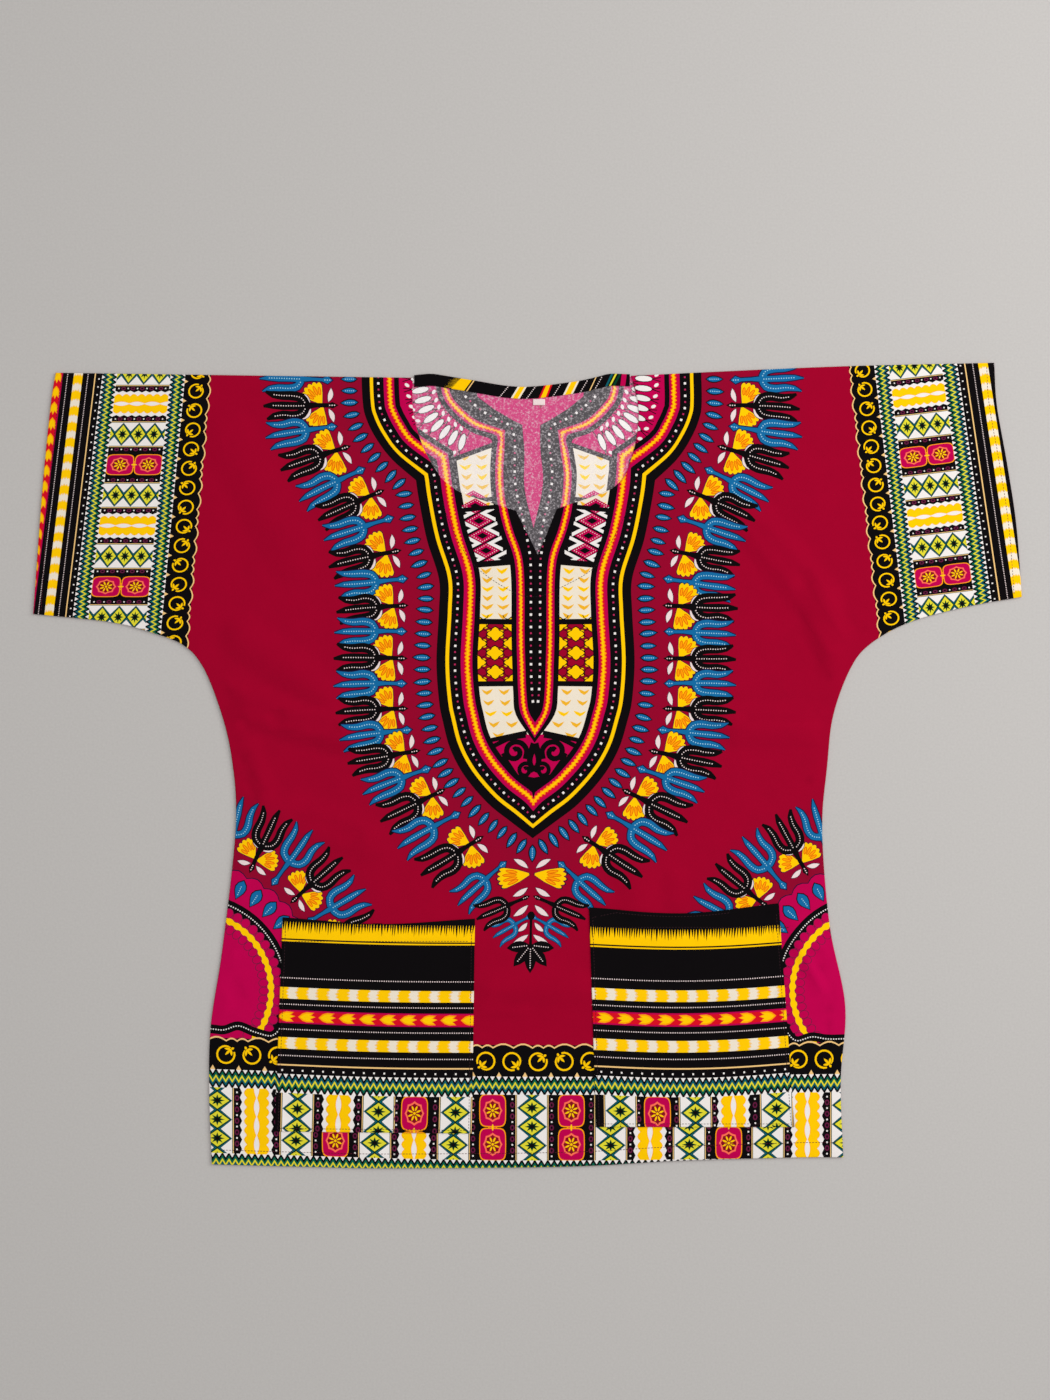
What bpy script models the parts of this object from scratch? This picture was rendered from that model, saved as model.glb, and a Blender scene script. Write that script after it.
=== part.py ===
"""Dashiki shirt laid flat, in metres, +Z up, with the neck towards +Y and its underside on z = 0.

The back panel lies on the surface and the front panel lies on the back, each with its sleeves cut in one
with the body. The pockets lie on the front. The bias facing and the size label lie on the back's inner
side, where the front's neckline leaves it open. Every piece of cloth is an open sheet with Solidify.
"""

from collections import namedtuple
from math import ceil, hypot

import bmesh
import bpy
from mathutils import Vector
from mathutils.geometry import delaunay_2d_cdt, intersect_point_line

NAME = "dashiki_shirt"

# Cloth
WALL = 0.0010
SEAM_GAP = 0.0003
BACK_LEVEL = 0.0
INNER_LEVEL = BACK_LEVEL + WALL + SEAM_GAP

# Mesh density
EDGE_STEP = 0.015
LATTICE = 0.023
LATTICE_CLEARANCE = 0.5
WELD = 1e-6

# Folds die out towards the seams, where the front is sewn down to the back.
SEAM_FADE = 0.030

FACING_WIDTH = 0.012
FACING_END = 0.0012
LABEL_SIZE = (0.012, 0.006)
LABEL_X = 0.0115

# The two sides of the shirt, from the hem corner up the side seam, round the underarm and out to the cuff.
Station = namedtuple("Station", "place left right")
SIDE_SEAM = (
    Station("hem corner", (-0.3155, -0.3985), (0.3155, -0.3915)),
    Station("vent", (-0.3180, -0.3300), (0.3130, -0.3150)),
    Station("top of vent", (-0.3165, -0.2600), (0.3175, -0.2400)),
    Station("hip", (-0.3045, -0.1800), (0.3020, -0.1600)),
    Station("waist", (-0.2915, -0.0600), (0.2945, -0.0650)),
    Station("rib", (-0.2960, 0.0100), (0.2995, 0.0000)),
    Station("chest", (-0.3085, 0.0600), (0.3055, 0.0500)),
    Station("armpit", (-0.3255, 0.1005), (0.3225, 0.0965)),
    Station("underarm curve", (-0.3450, 0.1210), (0.3425, 0.1215)),
    Station("upper sleeve", (-0.3775, 0.1335), (0.3825, 0.1435)),
    Station("lower sleeve", (-0.4175, 0.1435), (0.4425, 0.1595)),
    Station("cuff corner", (-0.4940, 0.1515), (0.4940, 0.1685)),
)
CUFF = (
    Station("underside", (-0.4940, 0.1515), (0.4940, 0.1685)),
    Station("lower third", (-0.4905, 0.2005), (0.4885, 0.2405)),
    Station("upper third", (-0.4845, 0.2805), (0.4795, 0.3005)),
    Station("near the fold", (-0.4765, 0.3605), (0.4690, 0.3605)),
    Station("shoulder line", (-0.4715, 0.3925), (0.4665, 0.4025)),
)
SHOULDER = (
    Station("cuff", (-0.4715, 0.3925), (0.4665, 0.4025)),
    Station("sleeve", (-0.2950, 0.3900), (0.3025, 0.3985)),
    Station("neck point", (-0.1145, 0.3875), (0.1035, 0.3895)),
)
FRONT_NECK = (
    Station("neck point", (-0.1145, 0.3875), (0.1035, 0.3895)),
    Station("below the point", (-0.1150, 0.3620), (0.1100, 0.3640)),
    Station("side", (-0.1105, 0.3365), (0.1105, 0.3400)),
    Station("turn", (-0.0975, 0.3050), (0.1040, 0.3080)),
    Station("front", (-0.0725, 0.2760), (0.0875, 0.2790)),
    Station("notch", (-0.0115, 0.2545), (0.0295, 0.2565)),
)
NOTCH_TIP = (0.0105, 0.2105)
HEM = (
    (-0.3155, -0.3985),
    (-0.2200, -0.4010),
    (-0.1370, -0.4025),
    (0.0400, -0.4008),
    (0.1500, -0.3950),
    (0.2625, -0.3918),
    (0.3155, -0.3915),
)
BACK_NECK = (
    (-0.1145, 0.3875),
    (-0.0975, 0.3915),
    (-0.0575, 0.3855),
    (-0.0050, 0.3785),
    (0.0550, 0.3850),
    (0.0825, 0.3915),
    (0.1035, 0.3895),
)

Pocket = namedtuple("Pocket", "name top_left top_right bottom_right bottom_left dip")
POCKETS = (
    Pocket(
        "pocket_left", (-0.2445, -0.1515), (-0.0525, -0.1530), (-0.0555, -0.3675), (-0.2525, -0.3655), 0.006
    ),
    Pocket(
        "pocket_right", (0.0615, -0.1415), (0.2510, -0.1375), (0.2665, -0.3610), (0.0685, -0.3610), 0.008
    ),
)

# The largest folds of the front: soft ridges between two points.
Fold = namedtuple("Fold", "place start end height half_width")
FOLDS = (
    Fold("left armpit, upper", (-0.285, 0.128), (-0.205, 0.072), 0.0035, 0.028),
    Fold("left armpit, lower", (-0.300, 0.066), (-0.180, 0.030), 0.0055, 0.026),
    Fold("left rib", (-0.286, 0.015), (-0.262, -0.040), 0.0030, 0.024),
    Fold("left waist", (-0.240, -0.050), (-0.165, -0.072), 0.0030, 0.030),
    Fold("right sleeve", (0.215, 0.255), (0.290, 0.165), 0.0045, 0.030),
    Fold("right armpit", (0.290, 0.165), (0.312, 0.105), 0.0060, 0.026),
    Fold("right rib", (0.200, 0.046), (0.285, 0.043), 0.0035, 0.024),
    Fold("above the right pocket", (0.106, -0.105), (0.112, -0.142), 0.0025, 0.026),
    Fold("between the pockets", (-0.034, -0.222), (0.048, -0.221), 0.0025, 0.024),
    Fold("right hip", (0.272, -0.165), (0.300, -0.205), 0.0035, 0.024),
    Fold("left shoulder", (-0.300, 0.330), (-0.235, 0.215), 0.0025, 0.034),
)

CRIMSON = (0.376, 0.0005, 0.022, 1.0)
BLACK_PRINT = (0.020, 0.016, 0.020, 1.0)
YELLOW_PRINT = (0.780, 0.420, 0.020, 1.0)
OFF_WHITE = (0.720, 0.700, 0.680, 1.0)
COTTON_ROUGHNESS = 0.85


def clear_scene():
    """Removes every object of the startup scene."""
    for item in list(bpy.data.objects):
        bpy.data.objects.remove(item, do_unlink=True)


def fabric(name, colour):
    """A woven cotton material of one colour."""
    material = bpy.data.materials.new(name)
    material.use_nodes = True
    shader = material.node_tree.nodes["Principled BSDF"]
    shader.inputs["Base Color"].default_value = colour
    shader.inputs["Roughness"].default_value = COTTON_ROUGHNESS
    shader.inputs["Metallic"].default_value = 0.0
    return material


def smooth_curve(knots, step=EDGE_STEP):
    """Points about a step apart on a Catmull-Rom curve through the knots, both ends included."""
    knots = [Vector(knot) for knot in knots]
    ends = [2 * knots[0] - knots[1], *knots, 2 * knots[-1] - knots[-2]]
    points = [knots[0]]
    for before, start, end, after in zip(ends, ends[1:], ends[2:], ends[3:]):
        count = max(1, ceil((end - start).length / step))
        for index in range(1, count + 1):
            t = index / count
            points.append(
                0.5
                * (
                    2 * start
                    + (end - before) * t
                    + (2 * before - 5 * start + 4 * end - after) * t**2
                    + (3 * start - before - 3 * end + after) * t**3
                )
            )
    return points


def side(stations, name):
    """One side's points of a table of stations."""
    return [getattr(station, name) for station in stations]


def join(*stretches):
    """One closed outline from stretches that end where the next one starts."""
    outline = []
    for stretch in stretches:
        outline.extend(Vector(point) for point in stretch[:-1])
    return outline


def panel_outline(neckline):
    """The shirt's outline, anticlockwise from the left hem corner, with the given neckline.

    The neckline runs from the right neck point to the left one.
    """
    return join(
        smooth_curve(HEM),
        smooth_curve(side(SIDE_SEAM, "right")),
        smooth_curve(side(CUFF, "right")),
        smooth_curve(side(SHOULDER, "right")),
        neckline,
        smooth_curve(side(SHOULDER, "left"))[::-1],
        smooth_curve(side(CUFF, "left"))[::-1],
        smooth_curve(side(SIDE_SEAM, "left"))[::-1],
    )


def front_neckline():
    """The front's neckline: round on both sides, with a V notch in the middle."""
    right = smooth_curve(side(FRONT_NECK, "right"))
    left = smooth_curve(side(FRONT_NECK, "left"))
    return [*right, Vector(NOTCH_TIP), *left[::-1]]


def pocket_outline(pocket):
    """A pocket's outline, anticlockwise, with a mouth that sags between its corners."""
    middle = (Vector(pocket.top_left) + Vector(pocket.top_right)) / 2 - Vector((0, pocket.dip))
    return join(
        smooth_curve([pocket.bottom_left, pocket.bottom_right]),
        smooth_curve([pocket.bottom_right, pocket.top_right]),
        smooth_curve([pocket.top_right, middle, pocket.top_left]),
        smooth_curve([pocket.top_left, pocket.bottom_left]),
    )


def edges_of(outline):
    """The pairs of neighbouring points of a closed outline."""
    return list(zip(outline, outline[1:] + outline[:1]))


def distance_to_segment(point, start, end):
    """How far a point lies from a segment."""
    nearest, share = intersect_point_line(point, start, end)
    nearest = start if share < 0 else end if share > 1 else nearest
    return (point - Vector(nearest[:2])).length


def distance_to(point, edges):
    """How far a point lies from the nearest of some edges."""
    return min(distance_to_segment(point, start, end) for start, end in edges)


def is_inside(point, edges):
    """Whether a point lies inside a closed outline, by counting the edges it meets to the right."""
    crossings = 0
    for start, end in edges:
        if (start.y > point.y) != (end.y > point.y):
            meets = start.x + (point.y - start.y) / (end.y - start.y) * (end.x - start.x)
            crossings += meets > point.x
    return crossings % 2 == 1


def lattice_points(outline, others, spacing):
    """Points of a staggered lattice inside an outline, clear of every edge."""
    edges = edges_of(outline)
    all_edges = edges + [edge for other in others for edge in edges_of(other)]
    low = Vector((min(p.x for p in outline), min(p.y for p in outline)))
    high = Vector((max(p.x for p in outline), max(p.y for p in outline)))
    row_height = spacing * 0.866
    points = []
    for row in range(1, int((high.y - low.y) / row_height) + 1):
        shift = spacing / 2 * (row % 2)
        for column in range(int((high.x - low.x) / spacing) + 1):
            point = Vector((low.x + shift + column * spacing, low.y + row * row_height))
            clear = distance_to(point, all_edges) > LATTICE_CLEARANCE * spacing
            if clear and is_inside(point, edges):
                points.append(point)
    return points


def filled_sheet(outline, others=(), spacing=None):
    """(points, triangles) of a flat sheet, whose triangles follow its outline and the others on it."""
    points = list(outline)
    borders = []
    for other in others:
        first = len(points)
        points.extend(other)
        borders += [(first + i, first + (i + 1) % len(other)) for i in range(len(other))]
    if spacing:
        points.extend(lattice_points(outline, others, spacing))
    face = [list(range(len(outline)))]
    found, _, triangles, *_ = delaunay_2d_cdt(points, borders, face, 1, WELD)
    return found, triangles


def fold_height(point, edges):
    """How far the front stands off the back at a point."""
    height = 0.0
    for fold in FOLDS:
        start, end = Vector(fold.start), Vector(fold.end)
        away = distance_to_segment(point, start, end) / fold.half_width
        if away < 1:
            height = hypot(height, fold.height * (1 - away**2) ** 2)
    fade = min(1.0, distance_to(point, edges) / SEAM_FADE)
    return height * fade * fade * (3 - 2 * fade)


def add_cloth(name, points, triangles, colour, parent):
    """An object whose sheet of triangles is given the thickness of cloth on its upper side."""
    mesh = bpy.data.meshes.new(name)
    mesh.from_pydata(points, [], triangles)
    work = bmesh.new()
    work.from_mesh(mesh)
    for face in work.faces:
        if face.normal.z < 0:
            face.normal_flip()
    work.to_mesh(mesh)
    work.free()
    item = bpy.data.objects.new(name, mesh)
    mesh.materials.append(fabric(name + "_cloth", colour))
    wall = item.modifiers.new("wall", "SOLIDIFY")
    wall.thickness = WALL
    wall.offset = 1.0
    item.parent = parent
    parent.users_collection[0].objects.link(item)
    return item


def at_level(points, level):
    """Flat points raised to a level."""
    return [Vector((point.x, point.y, level)) for point in points]


def build_back(parent):
    """The back panel, flat on the surface."""
    outline = panel_outline(smooth_curve(BACK_NECK)[::-1])
    points, triangles = filled_sheet(outline)
    return add_cloth("back", at_level(points, BACK_LEVEL), triangles, CRIMSON, parent)


def build_front(parent):
    """The front panel, on the back, with its folds."""
    outline = panel_outline(front_neckline())
    edges = edges_of(outline)
    pockets = [pocket_outline(pocket) for pocket in POCKETS]
    points, triangles = filled_sheet(outline, pockets, LATTICE)
    points = [
        Vector((point.x, point.y, INNER_LEVEL + fold_height(point, edges))) for point in points
    ]
    return add_cloth("front", points, triangles, CRIMSON, parent)


def build_pocket(pocket, front, parent):
    """A patch pocket made from the front's own points, moved out by a wall and a gap."""
    edges = edges_of(pocket_outline(pocket))
    sheet = front.data
    triangles = [
        list(face.vertices) for face in sheet.polygons if is_inside(face.center.to_2d(), edges)
    ]
    used = sorted({index for triangle in triangles for index in triangle})
    places = {old: new for new, old in enumerate(used)}
    points = [
        sheet.vertices[index].co + sheet.vertices[index].normal * (WALL + SEAM_GAP) for index in used
    ]
    triangles = [[places[index] for index in triangle] for triangle in triangles]
    return add_cloth(pocket.name, points, triangles, YELLOW_PRINT, parent)


def build_neck_facing(parent):
    """The bias strip along the back neckline, on the back's inner side."""
    left = BACK_NECK[0][0] + FACING_END
    right = BACK_NECK[-1][0] - FACING_END
    upper = [point for point in smooth_curve(BACK_NECK) if left <= point.x <= right]
    upper[0].x = left
    upper[-1].x = right
    lower = [point - Vector((0, FACING_WIDTH)) for point in upper]
    points, triangles = filled_sheet([*lower, *upper[::-1]])
    return add_cloth("neck_facing", at_level(points, INNER_LEVEL), triangles, BLACK_PRINT, parent)


def build_size_label(facing, parent):
    """A small blank label, sewn under the lower edge of the facing."""
    width, height = LABEL_SIZE
    over = [
        vertex.co.y
        for vertex in facing.data.vertices
        if abs(vertex.co.x - LABEL_X) < width + EDGE_STEP
    ]
    top = min(over) - SEAM_GAP
    low = Vector((LABEL_X - width / 2, top - height))
    corners = [low, low + Vector((width, 0)), low + Vector((width, height)), low + Vector((0, height))]
    points, triangles = filled_sheet(corners)
    return add_cloth("size_label", at_level(points, INNER_LEVEL), triangles, OFF_WHITE, parent)


def main():
    clear_scene()
    collection = bpy.data.collections.new(NAME)
    bpy.context.scene.collection.children.link(collection)
    root = bpy.data.objects.new("laid_flat", None)
    collection.objects.link(root)
    build_back(root)
    front = build_front(root)
    for pocket in POCKETS:
        build_pocket(pocket, front, root)
    facing = build_neck_facing(root)
    build_size_label(facing, root)


main()
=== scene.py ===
"""Looks of a dashiki shirt laid flat on a pale floor.

The shirt is printed cotton: a front and a back with their sleeves cut in one with the body, two patch
pockets, a bias facing at the back of the neck, a size label, and lines of stitches. The print is drawn as
filled shapes, each in one ink, laid over each other like the screens of a printing table. Each sheet of
cloth is cut into triangles along the edges of those shapes, so every triangle holds one ink. The drawing
of the print is in millimetres, and everything else is in metres, in the frame's axes.
"""

import logging
import math
import random
from collections.abc import Callable, Sequence
from dataclasses import dataclass, field
from enum import Enum

import bpy
import numpy as np
from mathutils.geometry import delaunay_2d_cdt
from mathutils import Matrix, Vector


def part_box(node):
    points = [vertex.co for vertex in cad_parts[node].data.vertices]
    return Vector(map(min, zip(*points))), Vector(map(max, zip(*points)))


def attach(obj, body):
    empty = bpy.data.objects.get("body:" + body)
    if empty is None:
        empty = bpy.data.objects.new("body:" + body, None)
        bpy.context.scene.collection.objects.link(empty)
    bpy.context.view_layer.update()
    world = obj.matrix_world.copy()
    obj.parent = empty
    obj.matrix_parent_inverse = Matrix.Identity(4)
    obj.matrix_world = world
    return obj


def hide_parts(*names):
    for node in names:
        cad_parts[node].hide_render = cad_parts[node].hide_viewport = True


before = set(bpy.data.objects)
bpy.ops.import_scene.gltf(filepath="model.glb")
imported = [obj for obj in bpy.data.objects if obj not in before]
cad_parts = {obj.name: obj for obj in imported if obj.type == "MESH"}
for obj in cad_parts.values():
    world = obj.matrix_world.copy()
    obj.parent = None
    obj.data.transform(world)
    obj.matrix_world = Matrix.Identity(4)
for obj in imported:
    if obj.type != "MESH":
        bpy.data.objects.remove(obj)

log = logging.getLogger("dashiki")

MM = 0.001
SEED = 11

Bend = Callable[[np.ndarray], np.ndarray]
Place = Callable[[float, float], np.ndarray]
Height = Callable[[np.ndarray, np.ndarray], np.ndarray]
Dye = Callable[[np.ndarray, np.ndarray], np.ndarray]


class Ink(Enum):
    """The dyes of the print, each as sRGB in whole numbers."""

    CRIMSON = (156, 1, 40)
    WINE = (138, 8, 44)
    MAGENTA = (188, 1, 75)
    RED = (214, 14, 34)
    DARK_RED = (132, 8, 30)
    YELLOW = (255, 200, 2)
    ORANGE = (255, 158, 6)
    BURNT = (218, 78, 6)
    OCHRE = (240, 178, 40)
    TAN = (240, 196, 128)
    CORAL = (255, 112, 82)
    CREAM = (236, 224, 204)
    PETAL = (233, 214, 212)
    WHITE = (236, 230, 226)
    PINK = (186, 40, 92)
    BLUE = (20, 104, 158)
    SKY = (160, 208, 226)
    NAVY = (28, 16, 52)
    TEAL = (10, 92, 104)
    GREEN = (2, 62, 38)
    SEA = (4, 96, 74)
    LIME = (224, 214, 52)
    PLUM = (96, 26, 60)
    BLACK = (12, 9, 11)


class Knots:
    """Plane curves and outlines, each an array of points."""

    @staticmethod
    def smooth(knots: Sequence, step: float = 4.0) -> np.ndarray:
        """Points about a step apart on a Catmull-Rom curve.

        Args:
            knots: The points that the curve passes through.
            step: The longest distance between neighbours.

        Returns:
            The points, the first and the last knot included.
        """
        knots = np.asarray(knots, float)
        ends = np.vstack([2 * knots[0] - knots[1], knots, 2 * knots[-1] - knots[-2]])
        parts = []
        for a, b, c, d in zip(ends, ends[1:], ends[2:], ends[3:]):
            count = max(1, math.ceil(np.hypot(*(c - b)) / step))
            t = np.arange(count)[:, None] / count
            square = (2 * a - 5 * b + 4 * c - d) * t**2
            cube = (3 * b - a - 3 * c + d) * t**3
            parts.append(0.5 * (2 * b + (c - a) * t + square + cube))
        return np.vstack([*parts, knots[-1:]])

    @staticmethod
    def tangents(path: np.ndarray) -> np.ndarray:
        """Unit directions along an open path, at its points."""
        way = np.gradient(path, axis=0)
        return way / np.maximum(np.hypot(way[:, 0], way[:, 1]), 1e-9)[:, None]

    @staticmethod
    def aside(path: np.ndarray, distance: np.ndarray | float) -> np.ndarray:
        """An open path moved to its left by a distance, or by one distance a point."""
        way = Knots.tangents(path)
        left = np.stack([-way[:, 1], way[:, 0]], 1)
        return path + left * np.reshape(distance, (-1, 1))

    @staticmethod
    def stroke(knots: Sequence, widths: Sequence | float, step: float = 3.5) -> np.ndarray:
        """The outline of a brush stroke along a smooth curve.

        Args:
            knots: The points that its middle passes through.
            widths: Its width, or one width a knot.
            step: The longest distance between neighbours.

        Returns:
            The outline's points.
        """
        path = Knots.smooth(knots, step)
        if np.ndim(widths) == 0:
            widths = np.full(len(knots), float(widths))
        share = Knots.lengths(path) / Knots.lengths(path)[-1]
        at = Knots.lengths(np.asarray(knots, float))
        half = np.interp(share, at / at[-1], widths) / 2
        return np.vstack([Knots.aside(path, half), Knots.aside(path, -half)[::-1]])

    @staticmethod
    def lengths(path: np.ndarray) -> np.ndarray:
        """The length of an open path up to each of its points."""
        return np.concatenate([[0.0], np.cumsum(np.hypot(*np.diff(path, axis=0).T))])

    @staticmethod
    def along(path: np.ndarray, places: Sequence) -> tuple[np.ndarray, np.ndarray]:
        """Points and directions at given lengths along a path.

        Args:
            path: An open path.
            places: The lengths from its first point.

        Returns:
            The points, and the angles of the path there.
        """
        run = Knots.lengths(path)
        spots = np.stack([np.interp(places, run, path[:, axis]) for axis in (0, 1)], 1)
        way = Knots.tangents(path)
        turn = np.unwrap(np.arctan2(way[:, 1], way[:, 0]))
        return spots, np.interp(places, run, turn)

    @staticmethod
    def ellipse(
        centre: Sequence, across: float, up: float, turn: float = 0.0, count: int = 12
    ) -> np.ndarray:
        """The outline of an ellipse of given radii, turned by an angle in degrees."""
        a = np.arange(count) * math.tau / count
        spots = np.stack([across * np.cos(a), up * np.sin(a)], 1)
        return Knots.turned(spots, turn) + centre

    @staticmethod
    def box(left: float, low: float, right: float, high: float) -> np.ndarray:
        """The outline of an upright rectangle."""
        return np.array([(left, low), (right, low), (right, high), (left, high)], float)

    @staticmethod
    def lens(
        length: float, width: float, belly: float = 1.0, blunt: float = 1.0, bow: float = 0.0
    ) -> np.ndarray:
        """The outline of a leaf or drop that lies on x from its tip at the origin.

        Args:
            length: From tip to tip.
            width: At its widest.
            belly: Above 1 moves the widest place away from the first tip.
            blunt: Below 1 makes both tips rounder.
            bow: How far the middle is bent aside.

        Returns:
            The outline's points.
        """
        t = np.linspace(0, 1, 6)
        half = width / 2 * np.sin(np.pi * t**belly) ** blunt
        bend = bow * 4 * t * (1 - t)
        upper = np.stack([length * t, bend + half], 1)
        lower = np.stack([length * t, bend - half], 1)
        return np.vstack([lower, upper[-2:0:-1]])

    @staticmethod
    def turned(spots: np.ndarray, degrees: float) -> np.ndarray:
        """Points turned about the origin."""
        c, s = math.cos(math.radians(degrees)), math.sin(math.radians(degrees))
        return spots @ np.array([(c, s), (-s, c)])

    @staticmethod
    def spot(x: float, y: float, degrees: float) -> np.ndarray:
        """One point turned about the origin."""
        return Knots.turned(np.array([(x, y)], float), degrees)[0]


@dataclass
class Drawing:
    """Filled shapes in painter's order, each with its ink, in millimetres."""

    shapes: list[tuple[np.ndarray, Ink]] = field(default_factory=list)

    def fill(self, outline: Sequence, ink: Ink) -> "Drawing":
        """Adds one filled shape and returns the drawing."""
        self.shapes.append((np.asarray(outline, float), ink))
        return self

    def line(self, knots: Sequence, widths: Sequence | float, ink: Ink, step: float = 3.5) -> "Drawing":
        """Adds a brush stroke along a smooth curve and returns the drawing."""
        return self.fill(Knots.stroke(knots, widths, step), ink)

    def dots(self, path: np.ndarray, pitch: float, size: float, ink: Ink, start: float = 0.0) -> "Drawing":
        """Adds small squares along a path.

        Args:
            path: The path that they follow.
            pitch: The distance from one to the next.
            size: Their side.
            ink: Their ink.
            start: The first one's distance from the path's start.

        Returns:
            The drawing.
        """
        places = np.arange(start, Knots.lengths(path)[-1] + 1e-6, pitch)
        spots, turns = Knots.along(path, places)
        square = Knots.box(-size / 2, -size / 2, size / 2, size / 2)
        for spot, turn in zip(spots, turns):
            self.fill(Knots.turned(square, math.degrees(turn)) + spot, ink)
        return self

    def add(
        self,
        other: "Drawing",
        at: Sequence = (0, 0),
        turn: float = 0.0,
        scale: float = 1.0,
        flip: bool = False,
    ) -> "Drawing":
        """Adds another drawing's shapes.

        Args:
            other: The drawing to add.
            at: Where its origin goes.
            turn: How far it is turned, in degrees.
            scale: Its scale.
            flip: Whether it is mirrored across its x axis first.

        Returns:
            The drawing.
        """
        mirror = np.array((1.0, -1.0 if flip else 1.0)) * scale
        for outline, ink in other.shapes:
            self.fill(Knots.turned(outline * mirror, turn) + at, ink)
        return self

    def both_sides(self) -> "Drawing":
        """The drawing with its mirror image across x = 0."""
        mirrored = [(outline * (-1, 1), ink) for outline, ink in self.shapes]
        return Drawing([shape for pair in zip(self.shapes, mirrored) for shape in pair])

    def bent(self, bend: Bend) -> "Drawing":
        """The drawing with each point moved by a function."""
        return Drawing([(bend(outline), ink) for outline, ink in self.shapes])


@dataclass(frozen=True)
class Drop:
    """A blue drop with a dark outline and a dotted heart, on x, with its point at the origin."""

    length: float = 19.0
    width: float = 7.8
    outline: float = 1.25
    blunt: float = 0.75
    belly: float = 0.86

    def draw(self) -> Drawing:
        """The drop's drawing."""
        rim = self.outline
        art = Drawing()
        art.fill(Knots.lens(self.length, self.width, self.belly, self.blunt), Ink.BLACK)
        inner = Knots.lens(self.length - 2.4 * rim, self.width - 2 * rim, self.belly, self.blunt)
        art.fill(inner + (1.2 * rim, 0), Ink.BLUE)
        heart = np.array([(self.length * 0.26, 0.0), (self.length * 0.72, 0.0)])
        return art.dots(heart, 2.1, 0.95, Ink.SKY)


@dataclass(frozen=True)
class Tulip:
    """A stem on x, from its bud at the origin to a cup of three curled prongs."""

    body: Ink
    rim: Ink
    beads: Ink
    stem: float = 3.2
    reach: float = 73.0
    outline: float = 2.2

    def draw(self, sway: float = 0.0, flare: float = 1.0) -> Drawing:
        """The tulip's drawing.

        Args:
            sway: How far its prongs lean to one side.
            flare: How wide its cup opens.

        Returns:
            The drawing.
        """
        outer = [(31, 1.6), (35, 7.6), (43, 9.9), (54, 9.6), (63, 10.8), (70, 13.8)]
        prongs = []
        for side in (1, -1):
            knots = [(x, side * y * flare + sway * (x > 50)) for x, y in outer]
            prongs.append((knots, (6.4, 7.4, 7.4, 6.6, 4.8, 0.4)))
        middle = [(31, 0), (42, 0), (54, 0.4 * sway), (64, sway), (self.reach, 1.6 * sway - 1)]
        prongs.append((middle, (6.0, 5.8, 6.4, 4.8, 0.4)))
        art = Drawing()
        bud = np.array([(0, 0), (4.6, -3.8), (10, -self.stem / 2), (10, self.stem / 2), (4.6, 3.8)], float)
        if self.body is Ink.BLACK:
            bud[:, 1] *= 0.66
        waist, lip = 4.4 * flare, 6.4 * flare
        cup = np.array([(28, 0), (31, waist), (36, lip), (36, -lip), (31, -waist)])
        passes = [(self.outline, self.rim), (0.0, self.body)]
        if self.rim is self.body:
            passes = passes[:1]
        for extra, ink in passes:
            grow, thick = 1 + extra / 7, self.stem + extra
            art.fill((bud - (5, 0)) * grow + (5, 0), ink)
            art.line([(8, 0), (20, 0.3), (33, 0)], (thick, thick, 6 + extra), ink, 6)
            art.fill((cup - (33, 0)) * grow + (33, 0), ink)
            for knots, widths in prongs:
                art.line(knots, np.array(widths) + extra, ink, 5.5)
        for knots, _ in prongs:
            art.dots(Knots.smooth(knots[:-1], 3), 2.5, 1.05, self.beads, 2.0)
        art.dots(np.array([(2.6, 0), (9, 0)], float), 2.4, 1.1, self.beads)
        return art


@dataclass(frozen=True)
class ShellFlower:
    """A yellow shell-shaped flower on x, fanning out from its base at the origin."""

    length: float = 22.5
    spread: float = 36.0
    lobes: int = 5

    def draw(self) -> Drawing:
        """The flower's drawing."""
        t = np.linspace(0, 1, 4 * self.lobes + 1)
        turn = np.radians((2 * t - 1) * self.spread)
        lobed = 0.9 + 0.1 * np.abs(np.sin(np.pi * self.lobes * t))
        reach = self.length * lobed * (1 - 0.1 * (2 * t - 1) ** 2)
        fan = np.stack([reach * np.cos(turn), reach * np.sin(turn)], 1)
        wide = math.sin(math.radians(self.spread)) / math.sin(math.radians(36))
        size = self.length / 22.5
        side = np.array([(-0.2, -1.0), (7.4 * size, -6.4 * wide * size)])
        outline = np.vstack([side, fan, side[::-1] * (1, -1)])
        art = Drawing()
        art.fill((outline - (12, 0)) * 1.08 + (12, 0), Ink.NAVY)
        art.fill(outline, Ink.YELLOW)
        for angle, at, half in ((-26, 12.4, 4.4), (-9, 13.6, 5.4), (9, 13.6, 5.4), (26, 12.4, 4.4)):
            lean = angle * wide
            centre = Knots.spot(at * size, 0.0, lean)
            art.fill(Knots.ellipse(centre, half * size, 1.75, lean, 8), Ink.BURNT)
            art.fill(Knots.ellipse(centre, half * size - 0.8, 1.0, lean, 8), Ink.ORANGE)
        return art


@dataclass(frozen=True)
class Leaf:
    """An off-white leaf on x, from its stalk at the origin."""

    length: float = 14.0
    width: float = 5.0
    bow: float = 0.8

    def draw(self) -> Drawing:
        """The leaf's drawing."""
        art = Drawing()
        art.fill(Knots.lens(self.length + 1.6, self.width + 1.3, 1.0, 0.9, self.bow) - (0.8, 0), Ink.NAVY)
        art.fill(Knots.lens(self.length, self.width, 1.0, 0.9, self.bow), Ink.PETAL)
        return art


BLUE_TULIP = Tulip(Ink.BLUE, Ink.NAVY, Ink.SKY)
BLACK_TULIP = Tulip(Ink.BLACK, Ink.BLACK, Ink.PETAL, stem=2.2)


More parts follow.
